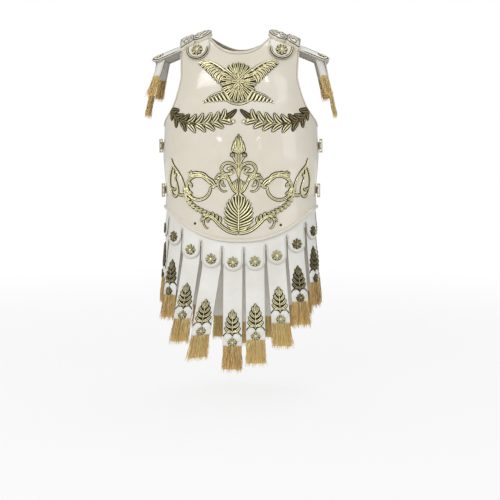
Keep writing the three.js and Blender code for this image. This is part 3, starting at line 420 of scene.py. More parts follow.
# Border and seat in millimetres; a strand has its full border and height where its width passes 1 / rise.
strand = {"border": 1.15, "seat": 0.15, "borderRise": 3, "heightRise": 1.6}
# Width along the strand, from root to tip.
roundEnds = lambda t, power: np.sqrt(np.clip(1 - np.abs(2 * t - 1) ** power, 0, 1))
widths = {
    "leaf": lambda t: np.sin(math.pi * np.clip(t, 0, 1) ** 0.78) ** 0.7 * (1 - 0.12 * t),
    "petal": lambda t: np.clip(0.42 + 0.85 * t, 0, 1) * np.sqrt(np.clip(1 - t**6, 0, 1)),
    "feather": lambda t: np.clip(0.55 + t, 0, 1) * np.sqrt(np.clip(1 - t**4, 0, 1)),
    "stem": lambda t: roundEnds(t, 12),
    "taper": lambda t: roundEnds(t, 10) * (1 - 0.6 * t),
    "swell": lambda t: (0.35 + 0.65 * np.sin(math.pi * t)) * roundEnds(t, 12),
}


# A raised strand that follows a line on a surface, with a dark sunken border along both sides.
# Relief is tone on its crests and 0 in the border; sink is how far its walls go down.
def addStrand(bm, place, points, width, height, section, shape, steps=12, sink=0.5, tone=1.0):
    # each row: place across, height, side of the border, and 1 where it goes down
    left, right = [(-1, 0, -1, 1), (-1, 0, -1, 0)], [(1, 0, 1, 0), (1, 0, 1, 1)]
    middle = [(*point, 0, 0) for point in sections[section]]
    table = np.array(left + middle + right + left[:1], float)
    path = splinePath(points, steps) if len(points) > 2 else np.linspace(*points, steps + 1)
    side = sideways(path)
    half = widths[shape](np.linspace(0, 1, steps + 1)) * width / 2
    fullness = np.clip(half / (width / 2), 0, 1)

    def raised(u, v):
        i = np.rint(u * steps).astype(int)
        k = np.rint(v * (len(table) - 1)).astype(int)
        border = table[k, 2] * strand["border"] * np.clip(fullness[i] * strand["borderRise"], 0, 1)
        across = table[k, 0] * half[i] + border
        centre = path[i] + side[i] * across[:, None]
        rise = table[k, 1] * height * np.clip(fullness[i] * strand["heightRise"], 0, 1)
        lift = strand["seat"] + rise - (sink + strand["seat"]) * table[k, 3]
        return place(centre[:, 0], centre[:, 1], lift)

    def crest(u, v):
        k = np.rint(v * (len(table) - 1)).astype(int)
        return np.clip(table[k, 1], 0, 1) * tone

    weld(bm, addGrid(bm, steps, len(table) - 1, raised, {"relief": crest}))


# A round boss; profile gives height at a share of the radius and an angle.
def addBoss(bm, place, a, b, radiusA, radiusB, profile, rings=8, spokes=32, sink=0.5, tone=1.0):
    table = np.array([profile(share, 0) for share in np.linspace(0, 1, rings + 1)])

    def raised(u, v):
        turn = 2 * math.pi * u
        share = np.clip(v, 0, 1)
        lift = np.where(v >= 1, -sink, profile(share, turn))
        return place(a + radiusA * share * np.cos(turn), b + radiusB * share * np.sin(turn), lift)

    top = max(table.max(), 1e-6) / tone
    crest = lambda u, v: np.clip(profile(v, 2 * math.pi * u) / top, 0, 1)
    weld(bm, addGrid(bm, spokes, rings, raised, {"relief": crest}))


# Height profile of a rounded boss, highest at its middle.
def domeOf(height, base=0.0, edge=0.95, power=2):
    return lambda share, turn: base + height * np.sqrt(1 - edge * share**power) + 0 * turn


# Materials
def nodeMaker(tree):
    def make(kind, inputs=None, **values):
        node = tree.nodes.new(kind)
        for key, value in values.items():
            setattr(node, key, value)
        for key, value in (inputs or {}).items():
            if isinstance(value, bpy.types.NodeSocket):
                tree.links.new(value, node.inputs[key])
            else:
                node.inputs[key].default_value = value
        return node
    return make


def startMaterial(name):
    material = bpy.data.materials.new(name)
    material.use_nodes = True
    tree = material.node_tree
    shader = next(node for node in tree.nodes if node.type == "BSDF_PRINCIPLED")
    return material, shader, nodeMaker(tree)


def startGroup(name, inputs, outputs):
    tree = bpy.data.node_groups.new(name, "ShaderNodeTree")
    for label, kind, value in inputs:
        socket = tree.interface.new_socket(label, in_out="INPUT", socket_type=kind)
        socket.default_value = value
    for label, kind in outputs:
        tree.interface.new_socket(label, in_out="OUTPUT", socket_type=kind)
    make = nodeMaker(tree)
    return tree, make, make("NodeGroupInput"), make("NodeGroupOutput")


def colourRamp(make, factor, stops):
    ramp = make("ShaderNodeValToRGB", {"Fac": factor})
    while len(ramp.color_ramp.elements) < len(stops):
        ramp.color_ramp.elements.new(0.5)
    for element, (position, colour) in zip(ramp.color_ramp.elements, stops):
        element.position = position
        element.color = (*colour, 1)
    return ramp.outputs["Color"]


def noiseAt(make, place, scale, detail, roughness=0.5):
    inputs = {"Vector": place, "Scale": scale, "Detail": detail, "Roughness": roughness}
    return make("ShaderNodeTexNoise", inputs).outputs["Fac"]


# Maps the range between two values onto another one.
def remap(make, value, given, wanted=(0.0, 1.0)):
    inputs = {
        "Value": value, "From Min": given[0], "From Max": given[1],
        "To Min": wanted[0], "To Max": wanted[1],
    }
    return make("ShaderNodeMapRange", inputs).outputs["Result"]


def calculate(make, operation, *values):
    return make("ShaderNodeMath", dict(enumerate(values)), operation=operation).outputs[0]


def attributeOf(make, name):
    return make("ShaderNodeAttribute", attribute_name=name).outputs["Fac"]


# Broad cloudy variation with finer specks, from the piece's own coordinates.
def makeCloudGroup():
    tree, make, given, result = startGroup(
        "cloudyWear",
        [("Scale", "NodeSocketFloat", 8.0), ("Fine", "NodeSocketFloat", 60.0)],
        [("Cloud", "NodeSocketFloat"), ("Speck", "NodeSocketFloat")],
    )
    place = make("ShaderNodeTexCoord").outputs["Object"]
    broad = noiseAt(make, place, given.outputs["Scale"], 4.0, 0.55)
    fine = noiseAt(make, place, given.outputs["Fine"], 3.0, 0.6)
    tree.links.new(remap(make, broad, (0.35, 0.65)), result.inputs["Cloud"])
    tree.links.new(remap(make, fine, (0.3, 0.7)), result.inputs["Speck"])
    return tree


# Pores and creases for leather: height for a bump.
def makeGrainGroup():
    tree, make, given, result = startGroup(
        "leatherGrain",
        [("Scale", "NodeSocketFloat", 900.0), ("Crease", "NodeSocketFloat", 0.4)],
        [("Height", "NodeSocketFloat")],
    )
    place = make("ShaderNodeTexCoord").outputs["Object"]
    cellInputs = {"Vector": place, "Scale": given.outputs["Scale"]}
    cells = make("ShaderNodeTexVoronoi", cellInputs, feature="DISTANCE_TO_EDGE").outputs["Distance"]
    creases = noiseAt(make, place, 70.0, 5.0, 0.6)
    mixed = make("ShaderNodeMix", {"Factor": given.outputs["Crease"], "A": cells, "B": creases})
    tree.links.new(mixed.outputs["Result"], result.inputs["Height"])
    return tree


cloudGroup, grainGroup = makeCloudGroup(), makeGrainGroup()


def useGroup(make, tree, **values):
    node = make("ShaderNodeGroup", node_tree=tree)
    for key, value in values.items():
        node.inputs[key].default_value = value
    return node


def mixColours(make, factor, first, second):
    mix = make("ShaderNodeMix", {"Factor": factor}, data_type="RGBA", blend_type="MIX")
    for index, value in ((6, first), (7, second)):
        if isinstance(value, bpy.types.NodeSocket):
            mix.id_data.links.new(value, mix.inputs[index])
        else:
            mix.inputs[index].default_value = (*value, 1)
    return mix.outputs[2]


# Gives the shader its inputs: a number or colour is set on the socket, an output is linked.
def dress(shader, **inputs):
    for name, value in inputs.items():
        socket = shader.inputs[name.replace("_", " ")]
        if isinstance(value, bpy.types.NodeSocket):
            shader.id_data.links.new(value, socket)
        else:
            socket.default_value = value


def bumpFrom(make, height, strength, distance):
    inputs = {"Height": height, "Strength": strength, "Distance": distance}
    return make("ShaderNodeBump", inputs).outputs["Normal"]


def makeLacquer():
    look = {
        "pale": (0.82, 0.77, 0.668), "warm": (0.77, 0.695, 0.56), "line": (0.12, 0.09, 0.055),
        "lineShare": 0.75, "roughness": 0.17, "speckle": 0.05, "coat": 0.8, "coatRoughness": 0.05,
        "waviness": 0.32, "waveScale": 22.0, "waveDepth": 0.002,
    }
    material, shader, make = startMaterial("ivoryLacquer")
    wear = useGroup(make, cloudGroup, Scale=5.0, Fine=90.0)
    ground = mixColours(make, wear.outputs["Cloud"], look["pale"], look["warm"])
    # The dark line colour in the groove beside the rolled bead is painted shade.
    shadedGroove = calculate(make, "MULTIPLY", attributeOf(make, "rimLine"), look["lineShare"])
    speckled = (look["roughness"], look["roughness"] + look["speckle"])
    ripple = noiseAt(make, make("ShaderNodeTexCoord").outputs["Object"], look["waveScale"], 1.0)
    dress(shader, Base_Color=mixColours(make, shadedGroove, ground, look["line"]),
          Roughness=remap(make, wear.outputs["Speck"], (0.0, 1.0), speckled),
          Normal=bumpFrom(make, ripple, look["waviness"], look["waveDepth"]),
          Coat_Weight=look["coat"], Coat_Roughness=look["coatRoughness"])
    return material


# A surface that varies between two colours in fine specks.
def makeSpeckled(name, scale, fine, first, second, metallic, roughness, bumpStrength=0.0,
                 bumpDepth=0.0006):
    material, shader, make = startMaterial(name)
    speck = useGroup(make, cloudGroup, Scale=scale, Fine=fine).outputs["Speck"]
    dress(shader, Base_Color=mixColours(make, speck, first, second), Metallic=metallic, Roughness=roughness)
    if bumpStrength:
        dress(shader, Normal=bumpFrom(make, speck, bumpStrength, bumpDepth))
    return material


# Gold on the crests, with dark brown left in the recesses.
def makeGilt():
    look = {
        "recess": (0.02, 0.014, 0.006), "middle": (0.21, 0.155, 0.055), "crest": (0.97, 0.9, 0.55),
        "wear": 0.22, "metal": (0.2, 0.65), "roughness": (0.65, 0.28), "bump": 0.25, "bumpDepth": 0.0004,
    }
    material, shader, make = startMaterial("agedGilt")
    speck = useGroup(make, cloudGroup, Scale=30.0, Fine=420.0).outputs["Speck"]
    relief = attributeOf(make, "relief")
    lifted = calculate(make, "SUBTRACT", relief, calculate(make, "MULTIPLY", speck, look["wear"]))
    stops = [(0.22, look["recess"]), (0.48, look["middle"]), (0.68, look["crest"])]
    dress(shader, Base_Color=colourRamp(make, lifted, stops),
          Metallic=remap(make, lifted, (0.2, 0.6), look["metal"]),
          Roughness=remap(make, lifted, (0.1, 0.8), look["roughness"]),
          Normal=bumpFrom(make, speck, look["bump"], look["bumpDepth"]))
    return material


def makeLeather(name, pale, soiled):
    look = {
        "line": (0.34, 0.3, 0.23), "roughness": 0.42, "edgeShadeAndGroove": -2.0, "bump": 0.35, "bumpDepth": 0.0006,
        "edgeShadeAndGrooveShares": ((0.0, 0.9), (0.05, 0.55), (0.09, 0), (0.2, 0), (0.23, 0.7), (0.3, 0.7), (0.33, 0)),
    }
    material, shader, make = startMaterial(name)
    cloud = useGroup(make, cloudGroup, Scale=14.0, Fine=260.0).outputs["Cloud"]
    grain = useGroup(make, grainGroup, Scale=620.0, Crease=0.45).outputs["Height"]
    body = mixColours(make, cloud, pale, soiled)
    # Dark at the very edge as painted shade along the leather's edges, then a darker tooled groove a little
    # further in.
    stops = [(position, (share, share, share)) for position, share in look["edgeShadeAndGrooveShares"]]
    edgeShadeAndGroove = colourRamp(make, attributeOf(make, "edge"), stops)
    sunk = calculate(make, "MULTIPLY_ADD", edgeShadeAndGroove, look["edgeShadeAndGroove"], grain)
    dress(shader, Base_Color=mixColours(make, edgeShadeAndGroove, body, look["line"]), Roughness=look["roughness"],
          Normal=bumpFrom(make, sunk, look["bump"], look["bumpDepth"]))
    return material


def makeFringe():
    look = {
        "dark": (0.36, 0.2, 0.07), "middle": (0.88, 0.58, 0.185), "pale": (1.0, 0.84, 0.38),
        "roughness": 0.45, "sheen": 0.3, "speckle": 0.25,
    }
    material, shader, make = startMaterial("tanFringe")
    speck = useGroup(make, cloudGroup, Scale=40.0, Fine=500.0).outputs["Speck"]
    mixed = calculate(make, "MULTIPLY_ADD", speck, look["speckle"], attributeOf(make, "shade"))
    stops = [(0.0, look["dark"]), (0.5, look["middle"]), (1.0, look["pale"])]
    dress(shader, Base_Color=colourRamp(make, mixed, stops), Roughness=look["roughness"],
          Sheen_Weight=look["sheen"])
    return material


# Raised lines of the lacquer's own colour, with dark ink left beside them.
def makeInkedIvory():
    look = {"recess": (0.045, 0.035, 0.02), "middle": (0.4, 0.34, 0.24), "crest": (0.83, 0.79, 0.68)}
    material, shader, make = startMaterial("inkedIvory")
    stops = [(0.1, look["recess"]), (0.4, look["middle"]), (0.7, look["crest"])]
    dress(shader, Base_Color=colourRamp(make, attributeOf(make, "relief"), stops), Roughness=0.32)
    return material


lacquer, gilt, fringe, inkedIvory = makeLacquer(), makeGilt(), makeFringe(), makeInkedIvory()
leather = makeLeather("whiteLeather", (0.9, 0.885, 0.84), (0.81, 0.79, 0.72))
creamLeather = makeLeather("creamLeather", (0.87, 0.83, 0.74), (0.8, 0.75, 0.64))
lining = makeSpeckled("suedeLining", 12.0, 300.0, (0.52, 0.45, 0.34), (0.42, 0.35, 0.26), 0.0, 0.85, 0.3)
steel = makeSpeckled("wornSteel", 60.0, 600.0, (0.55, 0.53, 0.48), (0.36, 0.34, 0.3), 1.0, 0.35)
brass = makeSpeckled("wornBrass", 40.0, 500.0, (0.78, 0.66, 0.38), (0.42, 0.33, 0.15), 0.9, 0.32)
print("materials made")

# Plates
plate = {
    "columns": 150, "rows": 170, "crowding": 1.35, "lipRows": 0.08, "lipReach": 1.6,
    "lipHeight": 5, "lipWidth": 9, "lipPower": 6, "lipShare": 0.9, "beadHeight": 2.4, "beadWidth": 5,
    "linePlace": 1.8, "lineWidth": 1.3, "lineDepth": 0.4,
    "sideScale": 1.35, "topScale": 1.3, "armholeTop": 0.95,
}
# Rows of a plate climb evenly up to the bend and then crowd towards the top edge.
climbing = {"bend": 0.6, "rate": 1.28, "reached": 0.768, "rest": 0.232}


# Crowds the columns towards both sides, where the edge is rolled.
def crowd(t):
    return np.sign(t) * (1 - (1 - np.abs(t)) ** plate["crowding"])


def climb(v):
    c = climbing
    late = np.sin((v - c["bend"]) / (1 - c["bend"]) * math.pi / 2)
    return np.where(v < c["bend"], v * c["rate"], c["reached"] + c["rest"] * late)


def makePlate(name, half, word):
    p = plate
    edge = p["lipWidth"] / torso["centreLength"]
    lipTop = edge * p["lipReach"]

    def params(u, v):
        above = lipTop + (1 - lipTop) * climb((v - p["lipRows"]) / (1 - p["lipRows"]))
        g = np.where(v < p["lipRows"], v / p["lipRows"] * edge * p["lipReach"], above)
        return crowd(2 * u - 1), np.clip(g, 0, 1)

    # distance from the armhole's or the neck's edge, and far away elsewhere
    def fromEdge(turn, g):
        fromSide = (1 - np.abs(turn)) * torso["chestHalfWidth"] * p["sideScale"]
        onArmhole = (plateAngle(g) < math.pi / 2 - 0.01) & (g < p["armholeTop"])
        topX = torso["chestHalfWidth"] * superSine(turn * plateAngle(np.ones_like(turn)))
        fromTop = (1 - g) * torso["centreLength"] * p["topScale"]
        onNeck = np.abs(topX) < torso["neckHalfWidth"]
        return np.minimum(np.where(onArmhole, fromSide, 1e3), np.where(onNeck, fromTop, 1e3))

    # The groove beside the rolled bead, darkened in the lacquer as painted shade.
    def rimLine(away):
        return bump(away - p["beadWidth"] * p["linePlace"], p["lineWidth"])

    def offset(turn, g):
        t = g / edge
        rounded = np.sqrt(np.clip(1 - (2 * np.clip(t, 0, 1) - 1) ** p["lipPower"], 0, 1))
        lip = p["lipHeight"] * rounded * (t < 1) * p["lipShare"]
        away = fromEdge(turn, g)
        beadShape = np.sqrt(np.clip(1 - (2 * away / p["beadWidth"] - 1) ** 2, 0, 1))
        roll = p["beadHeight"] * beadShape * (away < p["beadWidth"])
        return lip + roll - p["lineDepth"] * rimLine(away)

    def place(u, v):
        turn, g = params(u, v)
        return platePoint(half, turn, g) + plateNormal(half, turn, g) * offset(turn, g)[:, None]

    bm = startMesh("rimLine")
    shadedGroove = lambda u, v: rimLine(fromEdge(*params(u, v)))
    addGrid(bm, p["columns"], p["rows"], place, {"rimLine": shadedGroove})
    if half["sign"] > 0:
        bmesh.ops.reverse_faces(bm, faces=bm.faces)
    node = "breastplate" if half is front else "backplate"
    piece = finishPiece(name, bm, [lacquer, lining], word, [node], outwards=False)
    wall = piece.modifiers.new("solidify", "SOLIDIFY")
    wall.thickness = torso["wall"] * metres
    wall.offset = -1
    wall.material_offset = 1
    wall.material_offset_rim = 0


makePlate("front_plate", front, "front")
makePlate("back_plate", back, "back")
print("plates made")


# Gilt relief on the chest
def arcAt(x, z):
    half = halfWidthAt(np.asarray(z, float))
    angle = angleOf(np.abs(x) / half)
    return np.sign(x) * np.interp(angle, front["girthAngles"], front["girthLengths"])


# Turns places seen from the front into places along the plate.
def alongPlate(points, side, topZ=0):
    rows = np.array(points, float)
    z = topZ - rows[:, 1]
    return np.stack([arcAt(side * rows[:, 0], z), z], 1)


emblem = {
    "z": -130, "radiusX": 45, "radiusZ": 49, "dome": 4.5, "discEdge": 0.5, "discTone": 0.05,
    "petalHeight": 3.9,
    # each ring: petals, inner and outer end as shares of the radius, width, lift and turn
    "rings": (
        (22, 0.4, 1.05, 10.5, 0.0, 0.5),
        (16, 0.3, 0.74, 9.5, 1.4, 0.2),
        (8, 0.06, 0.43, 12, 3.2, 0.0),
    ),
    "knobRadius": 4.4, "knobBase": 6.6, "knobRise": 2.4,
}
# Feathers run from root to tip; the first and the last are given, the others lie evenly between.
wing = {
    "count": 8, "roots": ((35, 20), (76, 49)), "tips": ((51, -5), (101, 44)), "bend": (3, 2.5),
    "width": 12.5, "narrowing": 3, "height": 3.2, "overlap": 0.25,
    "ridge": [(31, 24), (50, 39), (76, 51), (99, 50)], "ridgeWidth": 6.5,
    "coverts": [[(38 + 12 * k, 27 + 8 * k), (46 + 13 * k, 14 + 9.5 * k)] for k in range(3)],
}
lowWing = {
    "count": 7, "roots": ((35, -24), (84, -45)), "tips": ((20, -49), (80, -52)),
    "width": 8.5, "narrowing": 2.2, "height": 2.6, "overlap": 0.15,
    "edge": [(30, -22), (52, -28), (72, -37), (90, -53)], "end": (89, -52), "endRadius": 3.2,
    "base": [(-37, -41), (-20, -51), (0, -55), (20, -51), (37, -41)],
}


def addPetals(bm, domed, count, inner, outer, width, lift, shift):
    e = emblem
    for k in range(count):
        turn = 2 * math.pi * (k + shift) / count
        x, z = math.cos(turn) * e["radiusX"], math.sin(turn) * e["radiusZ"]
        line = [(x * inner, z * inner), (x * outer, z * outer)]
        addStrand(bm, raisedBy(domed, lift), line, width, e["petalHeight"], "leaf", "petal", 9, 1.0 + lift)


def addWing(bm, flat, side):
    w = wing
    for k in range(w["count"]):
        t = k / (w["count"] - 1)
        root, tip = between(*w["roots"], t), between(*w["tips"], t)
        bend = ((root[0] + tip[0]) / 2 + w["bend"][0], (root[1] + tip[1]) / 2 + w["bend"][1])
        line, width = mirrored([root, bend, tip], side), w["width"] - w["narrowing"] * t
        addStrand(bm, raisedBy(flat, w["overlap"] * k), line, width, w["height"], "leaf", "feather", 10, 2.5)
    ridge = mirrored(w["ridge"], side)
    addStrand(bm, raisedBy(flat, 1.2), ridge, w["ridgeWidth"], w["height"], "ridge", "taper", 14, 2.5)
    for covert in w["coverts"]:
        addStrand(bm, raisedBy(flat, 1.8), mirrored(covert, side), 7, 2.6, "leaf", "feather", 7, 3.0)


def addLowWing(bm, flat, side):
    w = lowWing
    for k in range(w["count"]):
        t = k / (w["count"] - 1)
        line = mirrored([between(*w["roots"], t), between(*w["tips"], t)], side)
        width = w["width"] - w["narrowing"] * t
        addStrand(bm, raisedBy(flat, w["overlap"] * k), line, width, w["height"], "ridge", "feather", 8, 1.5)
    addStrand(bm, raisedBy(flat, 0.6), mirrored(w["edge"], side), 3.6, 2.4, "ridge", "taper", 12, 1.5)
    radius = w["endRadius"]
    addBoss(bm, flat, side * w["end"][0], w["end"][1], radius, radius, domeOf(2.6), 4, 14)


def makeEmblem():
    e = emblem

    def flat(a, b, height):
        return onChest(a, e["z"] + b, height)

    def domed(a, b, height):
        away = np.clip((a / e["radiusX"]) ** 2 + (b / e["radiusZ"]) ** 2, 0, 1)
        return flat(a, b, height + e["dome"] * (1 - away))

    bm = startMesh("relief")
    disc = lambda share, turn: e["discEdge"] + e["dome"] * (1 - share**2) + 0 * turn
    addBoss(bm, flat, 0, 0, e["radiusX"], e["radiusZ"], disc, 10, 48, 1.5)
    paint(bm, "relief", e["discTone"])
    for ring in e["rings"]:
        addPetals(bm, domed, *ring)
    knob = domeOf(e["knobRise"], e["knobBase"])
    addBoss(bm, domed, 0, 0, e["knobRadius"], e["knobRadius"], knob, 5, 18, -3)
    for side in (-1, 1):
        addWing(bm, flat, side)
        addLowWing(bm, flat, side)
    addStrand(bm, flat, lowWing["base"], 6, 2.0, "ribbon", "swell", 20, 1.0)
    finishPiece("chest_medallion", bm, [gilt], "front", ["chest_emblem"])


laurel = {
    "pairs": 8, "length": 33, "width": 15, "height": 3.4, "darkPairs": 3, "darkTone": 0.64, "tone": 0.88,
    "stem": [(177, -196), (160, -221), (130, -233), (94, -234), (58, -230), (28, -220)], "stemWidth": 3.6,
    "stemSteps": 60, "leaves": ((1, 0.9, 0.8), (-1, 0.68, 0.4)),  # side, lean in radians and lift
    "middlePairs": 4, "deepTone": 0.6, "last": [(34, -222), (20, -212), (3.5, -198)],
    "berry": 5, "berries": ((13, -229), (24, -225)),
}


# Two rows of leaves on a stem that sags from the armhole to the middle of the chest.
def addLaurel(bm, side):
    l = laurel
    stem = splinePath(l["stem"], l["stemSteps"])
    places = np.stack([arcAt(side * stem[:, 0], stem[:, 1]), stem[:, 1]], 1)
    addStrand(bm, onChest, places[::6], l["stemWidth"], 2.2, "ridge", "taper", 24)
    shares = np.linspace(0, 1, l["stemSteps"] + 1)
    onStem = lambda t: np.array([np.interp(t, shares, column) for column in places.T])
    for k in range(l["pairs"]):
        t = 0.02 + 0.86 * k / (l["pairs"] - 1)
        root = onStem(t)
        ahead = onStem(t + 0.03) - root
        ahead /= np.linalg.norm(ahead)
        across = np.array([-ahead[1], ahead[0]]) * side * -1
        reach = l["length"] * (0.86 + 0.2 * math.sin(math.pi * t))
        tone = l["darkTone"] if k < l["darkPairs"] else l["tone"]
        leaning = lambda angle, sign: ahead * math.cos(angle) + across * sign * math.sin(angle)
        for sign, lean, lift in l["leaves"]:
            tip = root + leaning(lean, sign) * reach
            bend = root + leaning(lean * 0.8, sign) * reach * 0.5
            line, place = [root, bend, tip], raisedBy(onChest, lift)
            addStrand(bm, place, line, l["width"], l["height"], "leaf", "leaf", 10, 1.5, tone)
        if k < l["middlePairs"]:
            line = [root, root + (ahead + across * 0.12) * reach * 0.8]
            width = l["width"] * 0.75
            addStrand(bm, raisedBy(onChest, 1.8), line, width, 2.8, "leaf", "leaf", 8, 3, l["deepTone"])
    last = mirrored(l["last"], side)
    addStrand(bm, raisedBy(onChest, 1), last, 14, l["height"], "leaf", "leaf", 12, 2, l["deepTone"])
    for a, b in l["berries"]:
        addBoss(bm, onChest, side * a, b, l["berry"], l["berry"], domeOf(l["berry"], edge=0.96), 6, 20)


def makeLaurels():
    bm = startMesh("relief")
    addLaurel(bm, -1)
    addLaurel(bm, 1)
    finishPiece("laurel_sprays", bm, [gilt], "front", ["laurel_left", "laurel_right"])


scroll = {
    "topZ": -258, "ribbon": 7.4, "height": 3.6, "ball": 7, "ballPlace": (15.5, 55.5), "ballTone": 0.68,
    "ring": (104, 140), "ringRadius": 31, "leafScale": 1.25, "leafLift": 0.7, "fronds": 10, "twists": 9,
    "sink": 0.6, "stepLength": 3.2, "fewestSteps": 8,
}
# Each path runs across, then down from the top of the bud; width in ribbons, section and taper follow.
scrollPaths = [
    ([(2.5, 108), (4.4, 95), (10.5, 83), (23, 76), (37, 79), (44, 91), (38, 102), (24, 104), (11, 97)],
     0.95, "ribbon", "stem"),
    ([(14, 99), (22, 94), (28, 88)], 0.7, "leaf", "leaf"),
    ([(12, 88), (21, 89), (32, 92)], 0.7, "leaf", "leaf"),
    ([(1, 153), (12, 146), (20, 131), (28, 113), (35, 105)], 1.0, "ribbon", "stem"),
    ([(19, 133), (27, 118), (41, 113), (52, 124), (50, 140), (39, 149), (29, 147)], 0.95, "ribbon", "taper"),
    ([(38, 115), (47, 106), (57, 107)], 0.9, "leaf", "leaf"),
    ([(45, 116), (55, 113), (62, 119)], 0.9, "leaf", "leaf"),
    ([(33, 118), (37, 108), (45, 101)], 0.8, "leaf", "leaf"),
    ([(43, 119), (41, 131), (33, 137)], 0.8, "leaf", "leaf"),
    ([(50, 128), (58, 133), (64, 137), (73, 139)], 0.8, "ribbon", "stem"),
    ([(60, 137), (70, 124), (86, 114), (99, 108)], 1.5, "leaf", "leaf"),
    ([(76, 120), (88, 108), (102, 103), (112, 104)], 1.2, "leaf", "leaf"),
    ([(94, 111), (108, 103), (119, 104), (126, 95)], 1.2, "leaf", "leaf"),
    ([(112, 108), (124, 108), (131, 99)], 1.0, "leaf", "leaf"),
    ([(128, 119), (123, 111), (112, 109)], 0.9, "leaf", "leaf"),
    ([(134, 138), (130, 150), (118, 156)], 1.1, "leaf", "leaf"),
    ([(133, 126), (124, 131), (121, 140)], 0.8, "leaf", "leaf"),
    ([(178, 64), (173, 82), (160, 99), (148, 120), (141, 143), (137, 162), (126, 181), (108, 195),
      (90, 202), (72, 212)], 1.05, "ribbon", "taper"),
    ([(174, 83), (182, 108), (182, 138), (176, 158), (166, 163), (160, 150), (163, 132), (168, 115),
      (163, 104)], 0.95, "ribbon", "stem"),
    ([(160, 157), (151, 160), (142, 158)], 0.9, "ribbon", "stem"),
    ([(170, 92), (171, 104), (164, 113)], 0.8, "leaf", "leaf"),
    ([(179, 140), (171, 146), (165, 142)], 0.8, "leaf", "leaf"),
    ([(76, 211), (63, 220), (45, 238), (25, 251), (-0.8, 256.6)], 1.25, "ribbon", "stem"),
    ([(64, 221), (70, 214), (79, 212), (89, 220), (91, 232), (84, 243), (77, 242)], 0.95, "ribbon", "taper"),
    ([(80, 214), (89, 210), (97, 215)], 0.9, "leaf", "leaf"),
    ([(86, 218), (95, 221), (98, 229)], 0.8, "leaf", "leaf"),
    ([(72, 217), (79, 222), (80, 231)], 0.8, "leaf", "leaf"),
    ([(60, 226), (56, 215), (59, 206)], 0.9, "leaf", "leaf"),
    ([(52, 232), (47, 221), (50, 211)], 0.9, "leaf", "leaf"),
    ([(68, 219), (66, 209), (70, 201)], 0.9, "leaf", "leaf"),
]


# Each row: place across, place down, width and lift.
budLeaves = ((0, 0, 1.6, 1.0), (6, 7, 1.25, 0.8), (10.5, 16, 1.25, 0.6), (13, 26, 1.15, 0.2))
budScales = ((0.6, 14, 3.4), (4, 21, 2.8), (7.5, 29, 2.2), (9, 37, 1.6))
cupPetals = ((0, 112, 1.5, 1.2), (6.5, 117, 1.25, 0.5), (12.5, 122, 1.15, 0.5))
leafOutline = [(8, 157), (20, 164), (29, 173), (35, 187), (38, 203), (38, 219), (33, 232), (22, 243)]
ropeLine = [(143, 134), (137, 160), (126, 180), (108, 194), (88, 203), (72, 212)]


# Adds one strand of the scrollwork and its mirror image.
def addScrollStrand(bm, points, width, section, shape, steps=None, lift=0.0, height=None):
    s = scroll
    reach = sum(math.dist(a, b) for a, b in zip(points, points[1:]))
    count = steps or max(s["fewestSteps"], int(reach / s["stepLength"]))
    raised, breadth, rise = raisedBy(onChest, lift), width * s["ribbon"], height or s["height"]
    for side in (-1, 1):
        path = alongPlate(points, side, s["topZ"])
        addStrand(bm, raised, path, breadth, rise, section, shape, count, s["sink"] + lift)


def addRope(add):
    rope = splinePath(ropeLine, 40)
    for k in range(scroll["twists"]):
        at = rope[2 + 4 * k]
        ahead = rope[min(5 + 4 * k, 40)] - at
        ahead /= np.linalg.norm(ahead)
        across = np.array([ahead[1], -ahead[0]])
        for sign in (1, -1):
            tip = at + ahead * 11 + across * sign * 6.5
            add([tuple(at), tuple(tip)], 0.85, "leaf", "leaf", 7, 1.0)


def addBud(bm, add):
    s = scroll
    for across, down, width, lift in budLeaves:
        line = [(0.2 * across, 48), (1.05 * across, (46 + down) / 2 + 7), (across * 0.9, down + 1)]
        add(line, width, "leaf", "leaf", 12, lift)
    for across, down, lift in budScales:
        line = [(0, 50), (across * 0.9, (48 + down) / 2 + 4), (across, down)]
        add(line, 0.95, "leaf", "leaf", 9, lift)
    add([(15.5, 58), (9, 68), (3, 82)], 0.6, "ridge", "stem")
    add([(1.9, 47), (1.6, 80), (1.4, 114)], 0.46, "ridge", "stem", lift=0.4)
    for side in (-1, 1):
        a, b = alongPlate([s["ballPlace"]], side, s["topZ"])[0]
        dome = domeOf(s["ball"] * 0.8, edge=0.96)
        addBoss(bm, onChest, a, b, s["ball"], s["ball"], dome, 8, 26, tone=s["ballTone"])


# The fronds of the great leaf fan out from its middle rib.
def addGreatLeaf(add):
    fronds = scroll["fronds"]
    outline = splinePath(leafOutline, 40)
    for k in range(fronds):
        t = k / (fronds - 1)
        tip = outline[int(round(40 * t))]
        root = (1.4, 192 + 58 * t**0.85)
        middle = (tip[0] * 0.56 + 2.5, root[1] + (tip[1] - root[1]) * 0.44)
        add([root, middle, tuple(tip)], 0.84, "ridge", "feather", 13, 0.3 + 0.12 * (fronds - k), 3.0)
    add([(0.3, 158), (0.3, 200), (0.3, 251)], 0.62, "ridge", "stem", 16, 3.4)
    add([(0.4, 160), (6, 158), (12, 162)], 1.0, "leaf", "leaf", 8, 1.0)


def makeScroll():
    s = scroll
    bm = startMesh("relief")

    def add(*values, **named):
        addScrollStrand(bm, *values, **named)

    for points, width, section, shape in scrollPaths:
        isLeaf = section == "leaf"
        add(points, width * (s["leafScale"] if isLeaf else 1), section, shape, lift=s["leafLift"] * isLeaf)
    add(circlePoints(s["ring"], s["ringRadius"], -2.9, 3.3, 22), 1.0, "ribbon", "stem", 44)
    addRope(add)
    addBud(bm, add)
    for across, down, width, lift in cupPetals:
        line = [(across * 0.5, 150), (across, 135), (across * 0.95, down)]
        add(line, width, "leaf", "leaf", 10, lift)
    add([(0.5, 152), (8, 158), (14, 163)], 0.7, "ridge", "stem")
    addGreatLeaf(add)
    finishPiece("waist_scroll", bm, [gilt], "front", ["waist_scrollwork"])


